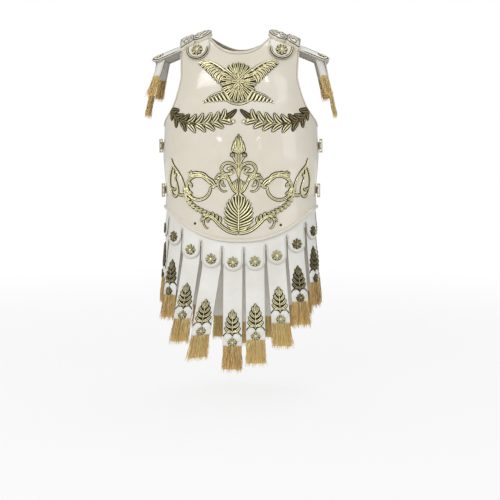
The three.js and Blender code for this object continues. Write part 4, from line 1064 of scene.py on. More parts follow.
makeEmblem()
makeLaurels()
makeScroll()
print("gilt relief made")


# Leather work
def faceOutwards(bm):
    bm.normal_update()
    total = 0
    for face in bm.faces:
        centre = face.calc_center_median()
        total += (face.normal.x * centre.x + face.normal.y * centre.y) * face.calc_area()
    if total < 0:
        bmesh.ops.reverse_faces(bm, faces=bm.faces)
    bm.normal_update()


# Gives a sheet its thickness on the far side of its normals, with rounded edges.
def thicken(bm, thickness, roundness):
    sharpAngle = 1.0  # radians
    bmesh.ops.solidify(bm, geom=list(bm.faces), thickness=thickness * metres)
    bm.normal_update()
    sharp = [edge for edge in bm.edges if len(edge.link_faces) == 2 and edge.calc_face_angle(0) > sharpAngle]
    bmesh.ops.bevel(bm, geom=sharp, offset=roundness * metres, segments=2, profile=0.5, affect="EDGES",
                    clamp_overlap=True, material=-1)


skirt = {
    "tongueLength": 75, "tongueWidth": 51, "tongueThickness": 2.4, "tongueRound": 0.7,
    "slit": 16, "rise": 30, "bulge": 0.8, "bend": 0.55, "tipRows": 0.45,
    "rosetteDepth": 52, "rosetteRadius": 14.5, "rosetteSink": 0.6,
    "strapWidth": 49, "strapThickness": 2.4, "strapRound": 0.6, "pivotGap": 0.5, "strapStart": 24,
    "rootOverlap": 6, "rootInset": 0.4, "rootRound": 0.5, "blendReach": 9,
    "fringeLength": 70, "fringeThreads": 96, "fringeDepth": 2.6, "fringeMargin": 1.2,
    "backPitch": 55, "edgeUnit": 12, "edgeShadeShare": 0.15,
}
skirt["tongueInset"] = torso["wall"] + 0.8
skirt["strapInset"] = skirt["tongueInset"] + skirt["tongueThickness"] + 0.6
# Strap by strap, from the viewer's left: place as a share of the half girth, lean in degrees, lowest
# height in front and at the back, tones of the gilding, of each palmette's ground and of the fringe.
tonguePlaces = (-0.893, -0.684, -0.474, -0.264, -0.055, 0.155, 0.365, 0.574, 0.8)
splays = (-2, -4, -6.5, -7.7, 0, 0, 2.5, 2, 1)
frontEnds = (643, 684, 742, 781, 808, 792, 749, 697, 650)
backEnds = (648, 694, 738, 772, 790, 772, 738, 694, 648)
# The lower tones on the outer straps are painted shade on the sides of the skirt.
giltShadedTones = (0.64, 0.7, 0.82, 0.86, 0.93, 0.96, 0.96, 0.69, 0.62)
groundShadedTones = (0.06, 0.06, 0.12, 0.2, 0.34, 0.36, 0.34, 0.1, 0.06)
fringeShadedTones = (-0.08, -0.06, 0.06, 0.26, 0.05, 0.26, 0.24, -0.02, -0.1)


def skirtPlan(half):
    inFront = half is front
    plan = []
    for k in range(len(tonguePlaces)):
        p = tonguePlaces[k] * half["girthLengths"][-1] if inFront else (k - 4) * skirt["backPitch"]
        tipZ = float(rimAtArc(half, np.array([p]))[0]) - skirt["tongueLength"]
        plan.append({
            "p": p, "tipZ": tipZ, "pivotZ": tipZ - skirt["pivotGap"],
            "splay": math.radians(splays[k]) if inFront else 0.0,
            "end": -(frontEnds if inFront else backEnds)[k],
            "giltShadedTone": giltShadedTones[k], "groundShadedTone": groundShadedTones[k], "fringeShadedTone": fringeShadedTones[k],
        })
    return plan


def addRosette(bm, place, a, b, radius, height=3.0, petals=8, tone=0.9):
    discTone = 0.03
    count = len(bm.verts)
    addBoss(bm, place, a, b, radius * 0.9, radius * 0.9, domeOf(0.0, 0.45), 2, 28, 0.6)
    paint(bm, "relief", discTone, count)
    for k in range(petals):
        angle = 2 * math.pi * k / petals
        start = (a + radius * 0.2 * math.cos(angle), b + radius * 0.2 * math.sin(angle))
        end = (a + radius * math.cos(angle), b + radius * math.sin(angle))
        addStrand(bm, place, [start, end], radius * 0.5, height, "leaf", "petal", 7, 0.5, tone)
    knob = domeOf(height * 0.5, height * 0.75)
    addBoss(bm, place, a, b, radius * 0.24, radius * 0.24, knob, 4, 14, tone=tone)


def makeTongues(name, half, node, body):
    s = skirt
    plan = skirtPlan(half)
    length, radius = s["tongueLength"], s["tongueWidth"] / 2
    straight = length - radius
    bm = startMesh("edge")
    for k, tongue in enumerate(plan):
        leftShare = -radius if k == 0 else (plan[k - 1]["p"] - tongue["p"]) / 2
        rightShare = radius if k == len(plan) - 1 else (plan[k + 1]["p"] - tongue["p"]) / 2

        def shape(u, v):
            bend = s["bend"]
            low = np.clip((v - bend) / s["tipRows"], 0, 1) * math.pi / 2
            aboveTip = -s["rise"] + (straight + s["rise"]) * v / bend
            down = np.where(v < bend, aboveTip, straight + radius * np.sin(low))
            return down, np.where(v < bend, radius, radius * np.cos(low))

        def place(u, v):
            down, narrow = shape(u, v)
            slit = smooth(down, s["slit"] - 1, s["slit"] + 4)
            side = 2 * u - 1
            wide = np.where(side < 0, -leftShare, rightShare)
            p = tongue["p"] + side * (wide * (1 - slit) + narrow * slit)
            level = smooth(down, s["slit"], straight)
            rim = rimAtArc(half, p) * (1 - level) + (tongue["tipZ"] + length) * level
            along = np.clip((down - s["slit"]) / (length - s["slit"]), 0, 1)
            bulge = s["bulge"] * np.sin(along * math.pi)
            return skirtPoint(half, p, rim - down, s["tongueInset"] - bulge)

        def rimShare(u, v):
            down, narrow = shape(u, v)
            side = np.abs(2 * u - 1)
            atTip = radius - np.hypot(side * narrow, down - straight)
            inside = np.where(down < straight, radius * (1 - side), atTip)
            return np.where(down < s["slit"] - 4, 1.0, np.clip(inside / s["edgeUnit"], 0, 1))

        addGrid(bm, 26, 44, place, {"edge": rimShare})
    weld(bm, bm.verts, 0.05)
    faceOutwards(bm)
    thicken(bm, s["tongueThickness"], s["tongueRound"])
    finishPiece(name, bm, [leather], body, [node])
    bm = startMesh("relief")
    onTongue = lambda a, b, h: skirtPoint(half, a, b, s["tongueInset"] - s["rosetteSink"] - h)
    for tongue in plan:
        down = tongue["tipZ"] + length - s["rosetteDepth"]
        addRosette(bm, onTongue, tongue["p"], down, s["rosetteRadius"], tone=tongue["giltShadedTone"])
    finishPiece(name + "_rosettes", bm, [gilt], body)


def makeStrapRoots(name, half, node, body):
    s = skirt
    plan = skirtPlan(half)
    low, high = plan[0]["p"] - s["strapWidth"] / 2, plan[-1]["p"] + s["strapWidth"] / 2

    def place(u, v):
        p = low + (high - low) * u
        z = rimAtArc(half, p) + s["rise"] - v * (s["rise"] + s["strapStart"] + s["rootOverlap"])
        return skirtPoint(half, p, z, s["strapInset"] + s["rootInset"])

    bm = startMesh("edge")
    addGrid(bm, 90, 6, place)
    paint(bm, "edge", 1.0)
    faceOutwards(bm)
    thicken(bm, s["strapThickness"], s["rootRound"])
    finishPiece(name, bm, [leather], body, [node])


# Gilt palmette above two white lobes and a rosette, for the lower end of a strap.
palmette = {
    "base": 38, "height": 60, "halfWidth": 18.5, "lobes": 4, "lobeWidth": 9.2, "ground": 31,
    "lift": 0.8, "leafHeight": 2.6, "stemHeight": 2.8, "footHeight": 2.4, "sink": 1.2,
    "lobeX": 11.2, "lobeDown": 13.5, "lobeRadius": 11, "lobeRise": 2.4, "archTone": 0.2,
    "rosetteDown": 25.5, "rosetteRadius": 12.4, "rosetteHeight": 2.6, "rosetteLift": 1.6,
}


def addPalmette(bm, place, base, tone, groundShadedTone):
    m = palmette
    height, leafHeight, sink = m["height"], m["leafHeight"], m["sink"]
    raised = raisedBy(place, m["lift"])
    ground = [(0, base - 2), (0, base + height * 0.97)]
    addStrand(bm, place, ground, m["ground"], 0.4, "ridge", "leaf", 16, 0.4, groundShadedTone)
    for k in range(m["lobes"]):
        t = k / (m["lobes"] - 1)
        tip = (m["halfWidth"] * (1 - 0.6 * t**1.6), base + height * (0.24 + 0.62 * t))
        root = (0.8, base + height * (0.01 + 0.58 * t))
        bend = (tip[0] * 0.66, root[1] + (tip[1] - root[1]) * 0.34)
        width = m["lobeWidth"] * (1 - 0.2 * t)
        for side in (1, -1):
            line = mirrored([root, bend, tip], side)
            addStrand(bm, raised, line, width, leafHeight, "leaf", "feather", 10, sink, tone)
    top = [(0, base + height * 0.66), (0, base + height)]
    addStrand(bm, raised, top, 8, leafHeight, "leaf", "leaf", 9, sink, tone)
    stem = [(0, base), (0, base + height * 0.74)]
    addStrand(bm, raised, stem, 2.6, m["stemHeight"], "ridge", "stem", 9, sink, tone)
    foot = [(1, base + 2), (9, base + 1), (19, base - 6)]
    arch = circlePoints((m["lobeX"], base - m["lobeDown"]), m["lobeRadius"] * 1.05, 0.15, math.pi - 0.2, 9)
    for side in (1, -1):
        addStrand(bm, raised, mirrored(foot, side), 6, m["footHeight"], "leaf", "leaf", 10, sink, tone)
        addStrand(bm, place, mirrored(arch, side), 1.3, 1.2, "ridge", "stem", 16, 0.4, m["archTone"])
    drop = [(0, base + 3), (0, base - 8)]
    addStrand(bm, raised, drop, 5.4, m["footHeight"], "leaf", "leaf", 7, sink, tone)


# Threads of a fringe; they start a little above the end of the leather.
thread = {
    "radius": 0.75, "steps": 9, "above": 3, "twist": 5, "thinning": 0.45, "tip": 0.15, "flare": 0.21,
    "longest": 1.04, "uneven": 0.25, "sway": 0.1, "shades": 0.8, "waves": (0.5, 2.1), "rates": (6, 14),
    "coreWidth": 0.96, "coreFlare": 0.08, "coreLength": 0.88, "corePaintedShade": 0.35,
}


# Threads that hang from one edge: place takes a share across, a length down and a depth.
def addThreads(bm, place, count, length, depth, tone=0.1):
    f = thread
    clumpTurn = random.uniform(0, 2 * math.pi)
    for k in range(count):
        across = -1 + 2 * (k + random.uniform(-1, 2)) / count
        clump = 0.06 * math.sin(9 * across + clumpTurn) + 0.025 * math.sin(31 * across + 2 * clumpTurn)
        layerDepth = (k % 3 - 1) * depth + random.uniform(-0.4, 0.4) * depth
        shorter = f["uneven"] * random.random() ** 1.3
        reach = length * (f["longest"] - shorter + 0.02 * math.sin(7 * across + clumpTurn))
        sway, turn = random.gauss(0, f["sway"]), random.uniform(0, 2 * math.pi)
        shade = random.uniform(0, f["shades"]) + tone
        wave, rate = random.uniform(*f["waves"]), random.uniform(*f["rates"])

        def tube(u, v):
            angle = 2 * math.pi * u + f["twist"] * v + turn
            thick = f["radius"] * (1 - f["thinning"] * v**2) * np.where(v > 0.999, f["tip"], 1)
            x = np.clip(across, -1, 1) * (1 + f["flare"] * v**1.5) + (sway + clump) * v**1.4
            y = layerDepth * (1 + 0.35 * v) + wave * np.sin(rate * v + turn) * v + thick * np.sin(angle)
            shift = thick * np.cos(angle) + wave * np.cos(rate * v + turn) * v**0.7
            return place(x, reach * v - f["above"], y, shift)

        shading = lambda u, v: np.full_like(u, max(0.0, shade))
        weld(bm, addGrid(bm, 3, f["steps"], tube, {"shade": shading}))
    addThreadCore(bm, place, length)


# A plain sheet in the middle of the threads, so that no light shows through them; its darker colour is
# painted shade among the threads.
def addThreadCore(bm, place, length):
    f = thread

    def sheet(u, v):
        across = (2 * u - 1) * f["coreWidth"] * (1 + f["coreFlare"] * v)
        return place(across, length * f["coreLength"] * v - f["above"], 0.0, 0 * u)

    addGrid(bm, 10, 6, sheet, {"shade": lambda u, v: np.full_like(u, f["corePaintedShade"])})


# Where a strap hangs: its surface from its hinge line down, and a little above it.
def strapFrame(half, hang):
    s = skirt
    one = lambda p, z: skirtPoint(half, np.array([p]), np.array([float(z)]), s["strapInset"])[0]
    centre = one(hang["p"], hang["pivotZ"])
    lateral = one(hang["p"] + 1, hang["pivotZ"]) - one(hang["p"] - 1, hang["pivotZ"])
    lateral /= np.linalg.norm(lateral)
    fall = one(hang["p"], hang["end"]) - centre
    fall /= np.linalg.norm(fall)
    down = fall + lateral * math.tan(hang["splay"])
    down /= np.linalg.norm(down)
    out = np.cross(fall, lateral)
    out *= np.sign(out[1] * half["sign"]) / np.linalg.norm(out)
    length = (hang["pivotZ"] - hang["end"]) / abs(down[2])
    middle = s["strapWidth"] / 2
    total = length + s["fringeLength"]

    # across in millimetres, along down from the hinge line, lift out from the leather
    def place(across, along, lift):
        across, along = np.broadcast_arrays(np.asarray(across, float), np.asarray(along, float))
        below = np.maximum(along, 0)
        z = hang["pivotZ"] + np.maximum(-along, 0)
        turned = below / total * across * math.tan(hang["splay"])
        top = skirtPoint(half, hang["p"] + across, z, s["strapInset"])
        raised = out * np.reshape(lift * np.ones_like(across), (-1, 1))
        return top + down * (below + turned)[:, None] + raised

    return place, centre, down, length, middle


def makeStrap(name, half, hang, body, strapBody):
    s, m = skirt, palmette
    place, centre, down, length, middle = strapFrame(half, hang)
    rise = float(rimAtArc(half, np.array([hang["p"]]))[0]) - s["strapStart"] - hang["pivotZ"]
    strip = lambda u, v: place((2 * u - 1) * middle, -rise + (rise + length) * v, 0.0)
    # The straps keep only the painted shade along their edges, without the groove.
    inside = lambda u, v: np.clip((1 - np.abs(2 * u - 1)) * middle / s["edgeUnit"], 0, s["edgeShadeShare"])
    bm = startMesh("edge")
    addGrid(bm, 26, 44, strip, {"edge": inside})
    faceOutwards(bm)
    thicken(bm, s["strapThickness"], s["strapRound"])
    piece = finishPiece(name, bm, [leather], None, [strapBody])
    above, below = centre - down * s["blendReach"], centre + down * s["blendReach"]
    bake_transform(piece, body, strapBody, start=tuple(above * metres), end=tuple(below * metres))

    fromEnd = lambda a, b, h: place(a, length - b, h)
    bm = startMesh("relief")
    addPalmette(bm, fromEnd, m["base"], hang["giltShadedTone"], hang["groundShadedTone"])
    addRosette(bm, raisedBy(fromEnd, m["rosetteLift"]), 0, m["base"] - m["rosetteDown"], m["rosetteRadius"],
               m["rosetteHeight"], tone=hang["giltShadedTone"])
    finishPiece(name + "_palmette", bm, [gilt], strapBody)

    bm = startMesh("relief", "edge")
    swell, radius = domeOf(m["lobeRise"], edge=0.97, power=3), m["lobeRadius"]
    for side in (1, -1):
        addBoss(bm, fromEnd, side * m["lobeX"], m["base"] - m["lobeDown"], radius, radius, swell, 7, 28)
    paint(bm, "edge", 1.0)
    finishPiece(name + "_lobes", bm, [leather], strapBody)

    margin = s["fringeMargin"]
    width = middle - margin
    hung = lambda x, along, depth, shift: place(x * width + shift, length + along, depth - margin)
    bm = startMesh("shade")
    addThreads(bm, hung, s["fringeThreads"], s["fringeLength"], s["fringeDepth"], hang["fringeShadedTone"])
    finishPiece(name + "_fringe", bm, [fringe], strapBody)


for word, half in (("front", front), ("back", back)):
    makeTongues(word + "_tongues", half, word + "_tongue_band", word)
    makeStrapRoots(word + "_strap_roots", half, word + "_strap_band", word)
    for k, hang in enumerate(skirtPlan(half), 1):
        makeStrap(f"{word}_hanging_strap_{k}", half, hang, word, f"{word}_strap_{k}")
print("skirt made")

# Shoulder pieces
shoulder = {
    "seat": 1.3, "lobeX": 97, "guardY": -28, "lobeRadius": 24.2, "lobeRise": 9.9, "lobeFall": 0.28,
    "blockX": 134, "blockHalfX": 17.5, "blockHalfY": 22.5, "blockRise": 12.4, "blockFall": 0.2,
    "blockPower": 11, "tilt": 8, "lobeRing": 0.88, "blockRing": 0.86, "ringStart": 0.3,
}
# Strands on each half of a guard: line, width, height, section, shape, steps, sink and tone.
lobeStrands = [
    ([(2, 15), (11, 11), (14, 1), (7, -4), (3, 3), (7, 6)], 4.2, 1.9, "ribbon", "taper", 26, 0.4, 0.8),
    ([(-3, 16), (-11, 11), (-14, 4)], 5.6, 1.9, "leaf", "leaf", 9),
    ([(0, 4), (-5, 9), (-2, 15)], 5, 1.9, "leaf", "leaf", 9),
]
blockStrands = [
    ([(0, 4), (8, 8), (6, 15), (-3, 15), (-5, 10)], 3.8, 1.8, "ribbon", "taper", 20, 0.4, 0.8),
    ([(-2, 4), (-9, 8)], 4.6, 1.8, "leaf", "leaf", 8),
    ([(4, -2), (11, 1)], 4.4, 1.8, "leaf", "leaf", 8),
    ([(9, 4), (10, 12)], 4, 1.8, "leaf", "leaf", 8),
]
chestFlap = {
    "x": 107, "topZ": -30, "tipZ": -74, "halfWidth": 31, "thickness": 3, "roundness": 0.5, "bend": 0.3,
    "border": 26.4, "borderTurn": 0.16, "rosette": 15.5, "rosetteUp": 5,
}
armFlap = {
    "rootX": 130, "tipX": 232, "y": 26, "halfWidth": 23, "thickness": 2.4, "roundness": 0.7, "bend": 0.55,
    "border": 18.2, "borderStart": 156, "rosetteX": 211, "rosette": 10.5,
}
# Ends of the hinge lines under an arm flap, as shares of its length and half width; then the
# length of the leather and its lean in degrees.
armHinges = [((0.627, 0.826), (0.824, 0.261), 56, 26), ((0.863, 0.13), (0.892, -0.783), 98, 12)]
armStrap = {
    "thickness": 2.2, "roundness": 0.6, "gap": 0.5, "threads": 56,
    "fringe": 62, "fringeDepth": 2.0, "fringeMargin": 1, "fringeInset": 1.1,
}


# A domed cover over a round outline, whose rim drops steeply to the surface.
def addCushion(bm, place, outline, height):
    spokes, rings, drop, rimPower = 96, 16, 1.0, 30

    def raised(u, v):
        turn = 2 * math.pi * u
        share = 1 - (1 - np.clip(v, 0, 1)) ** 2
        reach = outline(turn)
        fall = np.sqrt(np.clip(1 - share**rimPower, 0, 1))
        a, b = reach * share * np.cos(turn), reach * share * np.sin(turn)
        return place(a, b, (height(share, b) + drop) * fall - drop)

    weld(bm, addGrid(bm, spokes, rings, raised))


def blockReach(turn):
    s = shoulder
    power = s["blockPower"]
    across = (np.abs(np.cos(turn)) / s["blockHalfX"]) ** power
    along = (np.abs(np.sin(turn)) / s["blockHalfY"]) ** power
    return (across + along) ** (-1 / power)


def makeGuard(side, hand):
    s = shoulder

    # height over a share of the reach, with the top tilted
    def tiltedDome(rise, fall, reach):
        return lambda share, b: rise * (1 - fall * share**2) + s["tilt"] * (b / reach + 1) / 2

    lobeHeight = tiltedDome(s["lobeRise"], s["lobeFall"], s["lobeRadius"])
    blockHeight = tiltedDome(s["blockRise"], s["blockFall"], s["blockHalfY"])

    def nearLobe(a, b, h):
        return onShoulder(side * (s["lobeX"] + a), s["guardY"] + b, s["seat"] + h)

    def nearBlock(a, b, h):
        return onShoulder(side * (s["blockX"] + a), s["guardY"] + b, s["seat"] + h)

    def onLobe(a, b, h):
        return nearLobe(a, b, h + lobeHeight(np.hypot(a, b) / s["lobeRadius"], b))

    def onBlock(a, b, h):
        return nearBlock(a, b, h + blockHeight(np.hypot(a, b) / blockReach(np.arctan2(b, a)), b))

    bm = startMesh()
    addCushion(bm, nearLobe, lambda turn: s["lobeRadius"] + 0 * turn, lobeHeight)
    addCushion(bm, nearBlock, blockReach, blockHeight)
    finishPiece(f"guard_shell_{hand}", bm, [lacquer], "front")

    bm = startMesh("relief")
    turns = np.linspace(s["ringStart"], 2 * math.pi + s["ringStart"], 49)
    circle = np.stack([np.cos(turns), np.sin(turns)], 1)
    addStrand(bm, onLobe, circle * s["lobeRadius"] * s["lobeRing"], 2.2, 1.3, "ridge", "stem", 96, 0.4)
    rim = circle * blockReach(turns)[:, None] * s["blockRing"]
    addStrand(bm, onBlock, rim, 2.2, 1.3, "ridge", "stem", 96, 0.4)
    for turn in (1, -1):
        for place, strands in ((onLobe, lobeStrands), (onBlock, blockStrands)):
            for line, *rest in strands:
                addStrand(bm, place, [(turn * a, turn * b) for a, b in line], *rest)
    addRosette(bm, onLobe, 0, 0, 5.4, 2.0, 6)
    addRosette(bm, onBlock, 0, 0, 5, 1.9, 6)
    finishPiece(f"guard_scrolls_{hand}", bm, [inkedIvory], "front")


# A flap with a round tip: how far along it lies and its half width there, for shares of its length.
def flapShape(start, straight, halfWidth, bend):
    def shape(v):
        low = np.clip((v - bend) / (1 - bend), 0, 1) * math.pi / 2
        along = np.where(v < bend, start + (straight - start) * v / bend, straight + halfWidth * np.sin(low))
        return along, halfWidth * np.cos(low)

    def fromEdge(u, v):
        along, reach = shape(v)
        across = np.abs(2 * u - 1)
        atTip = halfWidth - np.hypot(across * reach, along - straight)
        inside = np.where(along < straight, halfWidth * (1 - across), atTip)
        return np.clip(inside / skirt["edgeUnit"], 0, 1)

    return shape, fromEdge


def arcLine(centre, radius, start, end, count=17):
    return [(centre + radius * math.sin(t), radius * math.cos(t)) for t in np.linspace(start, end, count)]


def makeChestFlap(side, hand):
    c = chestFlap
    straight = -c["tipZ"] - c["halfWidth"]
    top = shoulder["seat"] + c["thickness"]
    shape, fromEdge = flapShape(-c["topZ"], straight, c["halfWidth"], c["bend"])

    def place(u, v):
        down, reach = shape(v)
        x = c["x"] + (2 * u - 1) * reach
        slope = (1 - np.clip(v / c["bend"], 0, 1)) * (slopeDrop(x) - slopeDrop(c["x"]))
        return onPlate(front, side * x, -down - slope, top)

    bm = startMesh("edge")
    addGrid(bm, 20, 26, place, {"edge": fromEdge})
    weld(bm, bm.verts, 0.3)
    faceOutwards(bm)
    thicken(bm, c["thickness"], c["roundness"])
    finishPiece(f"chest_flap_{hand}", bm, [creamLeather], "front", [f"chest_tongue_{hand}"])
    bm = startMesh("relief")
    onFlap = lambda a, b, h: onPlate(front, side * a, b, top + h)
    arc = arcLine(straight, c["border"], -c["borderTurn"], math.pi + c["borderTurn"], 25)
    line = [(c["x"] + across, -down) for down, across in arc]
    addStrand(bm, onFlap, line, 4.2, 1.8, "ridge", "stem", 56, 0.5, 0.8)
    addRosette(bm, onFlap, c["x"], -straight - c["rosetteUp"], c["rosette"], 3.2)
    finishPiece(f"chest_flap_trim_{hand}", bm, [gilt], "front")


def makeArmFlap(side, hand, half, word):
    a = armFlap
    straight = a["tipX"] - a["halfWidth"]
    top = shoulder["seat"] + a["thickness"]
    shape, fromEdge = flapShape(a["rootX"], straight, a["halfWidth"], a["bend"])
    onFlap = lambda along, across, h: onShoulder(side * along, half["sign"] * (a["y"] + across), top + h)

    def place(u, v):
        along, reach = shape(v)
        return onFlap(along, (2 * u - 1) * reach, 0)

    bm = startMesh("edge")
    addGrid(bm, 24, 38, place, {"edge": fromEdge})
    weld(bm, bm.verts, 0.05)
    bm.normal_update()
    if sum(face.normal.z for face in bm.faces) < 0:
        bmesh.ops.reverse_faces(bm, faces=bm.faces)
    thicken(bm, a["thickness"], a["roundness"])
    replaced = [f"{word}_arm_tongue_{hand}"]
    finishPiece(f"{word}_arm_flap_{hand}", bm, [leather], word, replaced)
    bm = startMesh("relief")
    tip = arcLine(straight, a["border"], 0, math.pi)
    line = [(a["borderStart"], a["border"])] + tip + [(a["borderStart"], -a["border"])]
    addStrand(bm, onFlap, line, 1.6, 0.9, "ridge", "stem", 48, 0.4, 0.7)
    addRosette(bm, onFlap, a["rosetteX"], 0, a["rosette"], 2.6)
    finishPiece(f"{word}_arm_flap_trim_{hand}", bm, [gilt], word)


def makeArmStrap(side, hand, half, word, k):
    a, s = armFlap, armStrap
    *hingeLine, leatherLength, leanDegrees = armHinges[k]
    ends = []
    for along, across in hingeLine:
        x = np.array([side * (a["rootX"] + (a["tipX"] - a["rootX"]) * along)])
        y = np.array([half["sign"] * (a["y"] + across * a["halfWidth"])])
        ends.append(onShoulder(x, y, shoulder["seat"] - s["gap"])[0])
    centre, middle = (ends[0] + ends[1]) / 2, np.linalg.norm(ends[1] - ends[0]) / 2
    lateral = (ends[1] - ends[0]) / (2 * middle)
    out = np.array([lateral[1], -lateral[0], 0])
    out *= np.sign(out[0] * side) / np.linalg.norm(out)
    lean = math.radians(leanDegrees)
    down = np.array([0, 0, -math.cos(lean)]) + out * math.sin(lean)
    facing = np.cross(down, lateral)
    facing *= np.sign(facing @ out) / np.linalg.norm(facing)

    def place(across, along, lift):
        across, along, lift = np.broadcast_arrays(across, along, lift)
        flat = centre + lateral * across[:, None] + down * (s["gap"] + along)[:, None]
        return flat + facing * lift[:, None]

    node = f"{word}_arm_strap_{hand}_{k + 1}"
    strip = lambda u, v: place((2 * u - 1) * middle, leatherLength * v, 0.0)
    inside = lambda u, v: np.clip((1 - np.abs(2 * u - 1)) * middle / skirt["edgeUnit"], 0, 1)
    bm = startMesh("edge")
    addGrid(bm, 8, 20, strip, {"edge": inside})
    faceOutwards(bm)
    thicken(bm, s["thickness"], s["roundness"])
    finishPiece(f"{node}_leather", bm, [leather], node, [node])
    width, inset = middle - s["fringeMargin"], s["fringeInset"]
    hung = lambda x, along, depth, shift: place(x * width + shift, leatherLength + along, depth - inset)
    bm = startMesh("shade")
    addThreads(bm, hung, s["threads"], s["fringe"], s["fringeDepth"])
    finishPiece(f"{node}_fringe", bm, [fringe], node)


for side, hand in ((-1, "left"), (1, "right")):
    makeGuard(side, hand)
    makeChestFlap(side, hand)
    for word, half in (("front", front), ("back", back)):
        makeArmFlap(side, hand, half, word)
        for k in range(len(armHinges)):
            makeArmStrap(side, hand, half, word, k)
print("shoulders made")

# Side straps and small fastenings
sideStrap = {
    "heights": (290, 408), "width": 20, "thickness": 2.2, "roundness": 0.5, "rootY": 52, "endY": -27,
    "rise": 4.4, "rootGap": 1.5, "seatY": 8, "rivetPlaces": (45, 33), "rivetRadius": 3.4, "rivetRise": 1.8,
}
rimRivet = {"places": (-114, 108), "up": 21, "radius": 3.6, "rise": 1.9, "tone": 0.45}


def makeSideStrap(side, hand, k):
    s = sideStrap
    height = s["heights"][k]
    span = s["endY"] - s["rootY"]

    def place(u, v, lift=s["thickness"]):
        y = s["rootY"] + span * v
        tip = np.clip((y - s["endY"]) / (s["width"] / 2), 0, 1)
        z = -height + s["width"] * (u - 0.5) * np.sqrt(1 - (1 - tip) ** 2)
        seated = smooth(y, s["seatY"], s["rootY"] / 2)
        level = z * seated - height * (1 - seated)
        x = halfWidthAt(level) * sectionDepth(np.maximum(y, 0) / depthAt(back, level))
        away = s["rise"] + (s["rootGap"] - s["rise"]) * seated + lift
        return np.stack([side * (x + away), y, z], 1)

    name = f"side_strap_{hand}_{k + 1}"
    bm = startMesh("edge")
    fromSide = lambda u, v: (1 - np.abs(2 * u - 1)) * s["width"] / 2 / skirt["edgeUnit"]
    addGrid(bm, 10, 48, place, {"edge": fromSide})
    weld(bm, bm.verts, 0.05)
    faceOutwards(bm)
    thicken(bm, s["thickness"], s["roundness"])
    finishPiece(name + "_leather", bm, [leather], "back", [name])
    bm = startMesh("relief")
    onStrap = lambda a, b, h: place(0.5 + b / s["width"], (a - s["rootY"]) / span, s["thickness"] + h)
    dome = domeOf(s["rivetRise"], edge=0.97)
    for y in s["rivetPlaces"]:
        addBoss(bm, onStrap, y, 0, s["rivetRadius"], s["rivetRadius"], dome, 5, 18)
    finishPiece(name + "_rivets", bm, [gilt], "back")


def makeRivets():
    r = rimRivet
    dome = domeOf(r["rise"], edge=0.97)
    bm = startMesh("relief")
    for x in r["places"]:
        turn = angleOf(np.array([abs(x) / torso["chestHalfWidth"]])) / (math.pi / 2)
        z = float(rimHeight(front, turn)[0]) + r["up"]
        near = lambda a, b, h: onPlate(front, x + a, z + b, h)
        addBoss(bm, near, 0, 0, r["radius"], r["radius"], dome, 5, 18, tone=r["tone"])
    finishPiece("rim_rivets", bm, [gilt], "front")


for side, hand in ((-1, "left"), (1, "right")):
    for k in range(len(sideStrap["heights"])):
        makeSideStrap(side, hand, k)
makeRivets()

# Hard fastenings keep their CAD shape.
fastenings = {"side_loop": brass, "hinge_leaf": brass, "hinge_pin": steel, "shoulder_guard": lacquer}
for name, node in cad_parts.items():
    for start, material in fastenings.items():
        if name.startswith(start):
            node.data.materials.clear()
            node.data.materials.append(material)
print("fastenings made")

# Stage
# Each lamp: place, what it points at, width and height, and power.
lamps = {
    "keyLamp": ((-1.3, -2.4, 0.9), (0, 0, -0.45), (1.3, 1.6), 22),
    "sparkLamp": ((-1.15, -2.35, 0.75), (0, 0, -0.3), (0.3, 0.22), 3),
    "sideSparkLamp": ((0.75, -2.45, 0.55), (0, 0, -0.3), (0.16, 0.42), 1.8),
    "fillLamp": ((1.9, -2.0, 0.1), (0, 0, -0.5), (1.4, 1.8), 8.6),
    "topLamp": ((0.2, 0.6, 1.9), (0, 0, -0.4), (1.6, 1.2), 13),
}
roomLight = 0.56


def addLamp(name, place, target, size, power):
    lamp = bpy.data.objects.new(name, bpy.data.lights.new(name, "AREA"))
    lamp.data.shape = "RECTANGLE"
    lamp.data.size, lamp.data.size_y = size
    lamp.data.energy = power
    lamp.location = place
    lamp.rotation_euler = (Vector(target) - Vector(place)).to_track_quat("-Z", "Y").to_euler()
    bpy.context.scene.collection.objects.link(lamp)


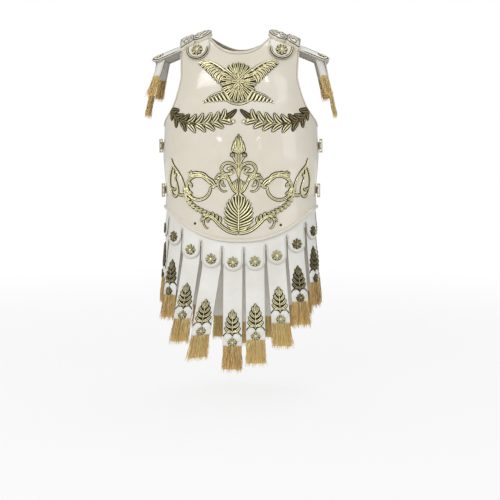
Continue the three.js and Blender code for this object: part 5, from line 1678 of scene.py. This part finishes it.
def makeStage():
    for name, values in lamps.items():
        addLamp(name, *values)
    world = bpy.data.worlds.new("paleRoom")
    bpy.context.scene.world = world
    world.use_nodes = True
    tree = world.node_tree
    make = nodeMaker(tree)
    tree.nodes.clear()
    seen = make("ShaderNodeLightPath").outputs["Is Camera Ray"]
    room = make("ShaderNodeBackground", {"Color": (0.93, 0.94, 0.95, 1), "Strength": roomLight})
    white = make("ShaderNodeBackground", {"Color": (1, 1, 1, 1), "Strength": 1.0})
    mix = make("ShaderNodeMixShader", {0: seen, 1: room.outputs[0], 2: white.outputs[0]})
    make("ShaderNodeOutputWorld", {"Surface": mix.outputs[0]})
    makeFloor()


# A wide floor that fades into the pale room, so that no edge shows behind the object.
def makeFloor():
    floor = {"height": -0.96, "size": 9, "glow": 0.8, "fadeStart": 0.9, "fadeEnd": 3.2}
    bm = startMesh()
    made = bmesh.ops.create_grid(bm, x_segments=2, y_segments=2, size=floor["size"])["verts"]
    bmesh.ops.translate(bm, verts=made, vec=(0, 0, floor["height"]))
    material, shader, make = startMaterial("palePaper")
    dress(shader, Base_Color=(0.86, 0.86, 0.86, 1), Roughness=0.9)
    place = make("ShaderNodeTexCoord").outputs["Object"]
    away = make("ShaderNodeVectorMath", {0: place}, operation="LENGTH").outputs["Value"]
    glow = remap(make, away, (floor["fadeStart"], floor["fadeEnd"]), (floor["glow"], 1.0))
    glow.node.interpolation_type = "SMOOTHSTEP"
    path = make("ShaderNodeLightPath").outputs
    seen = calculate(make, "MAXIMUM", path["Is Camera Ray"], path["Is Glossy Ray"])
    share = calculate(make, "MULTIPLY", seen, glow)
    white = make("ShaderNodeEmission", {"Color": (1, 1, 1, 1), "Strength": 1.0})
    mix = make("ShaderNodeMixShader", {0: share, 1: shader.outputs[0], 2: white.outputs[0]})
    output = next(node for node in material.node_tree.nodes if node.type == "OUTPUT_MATERIAL")
    material.node_tree.links.new(mix.outputs[0], output.inputs["Surface"])
    mesh = bpy.data.meshes.new("floor")
    bm.to_mesh(mesh)
    bm.free()
    mesh.materials.append(material)
    ground = bpy.data.objects.new("floor", mesh)
    bpy.context.scene.collection.objects.link(ground)


makeStage()
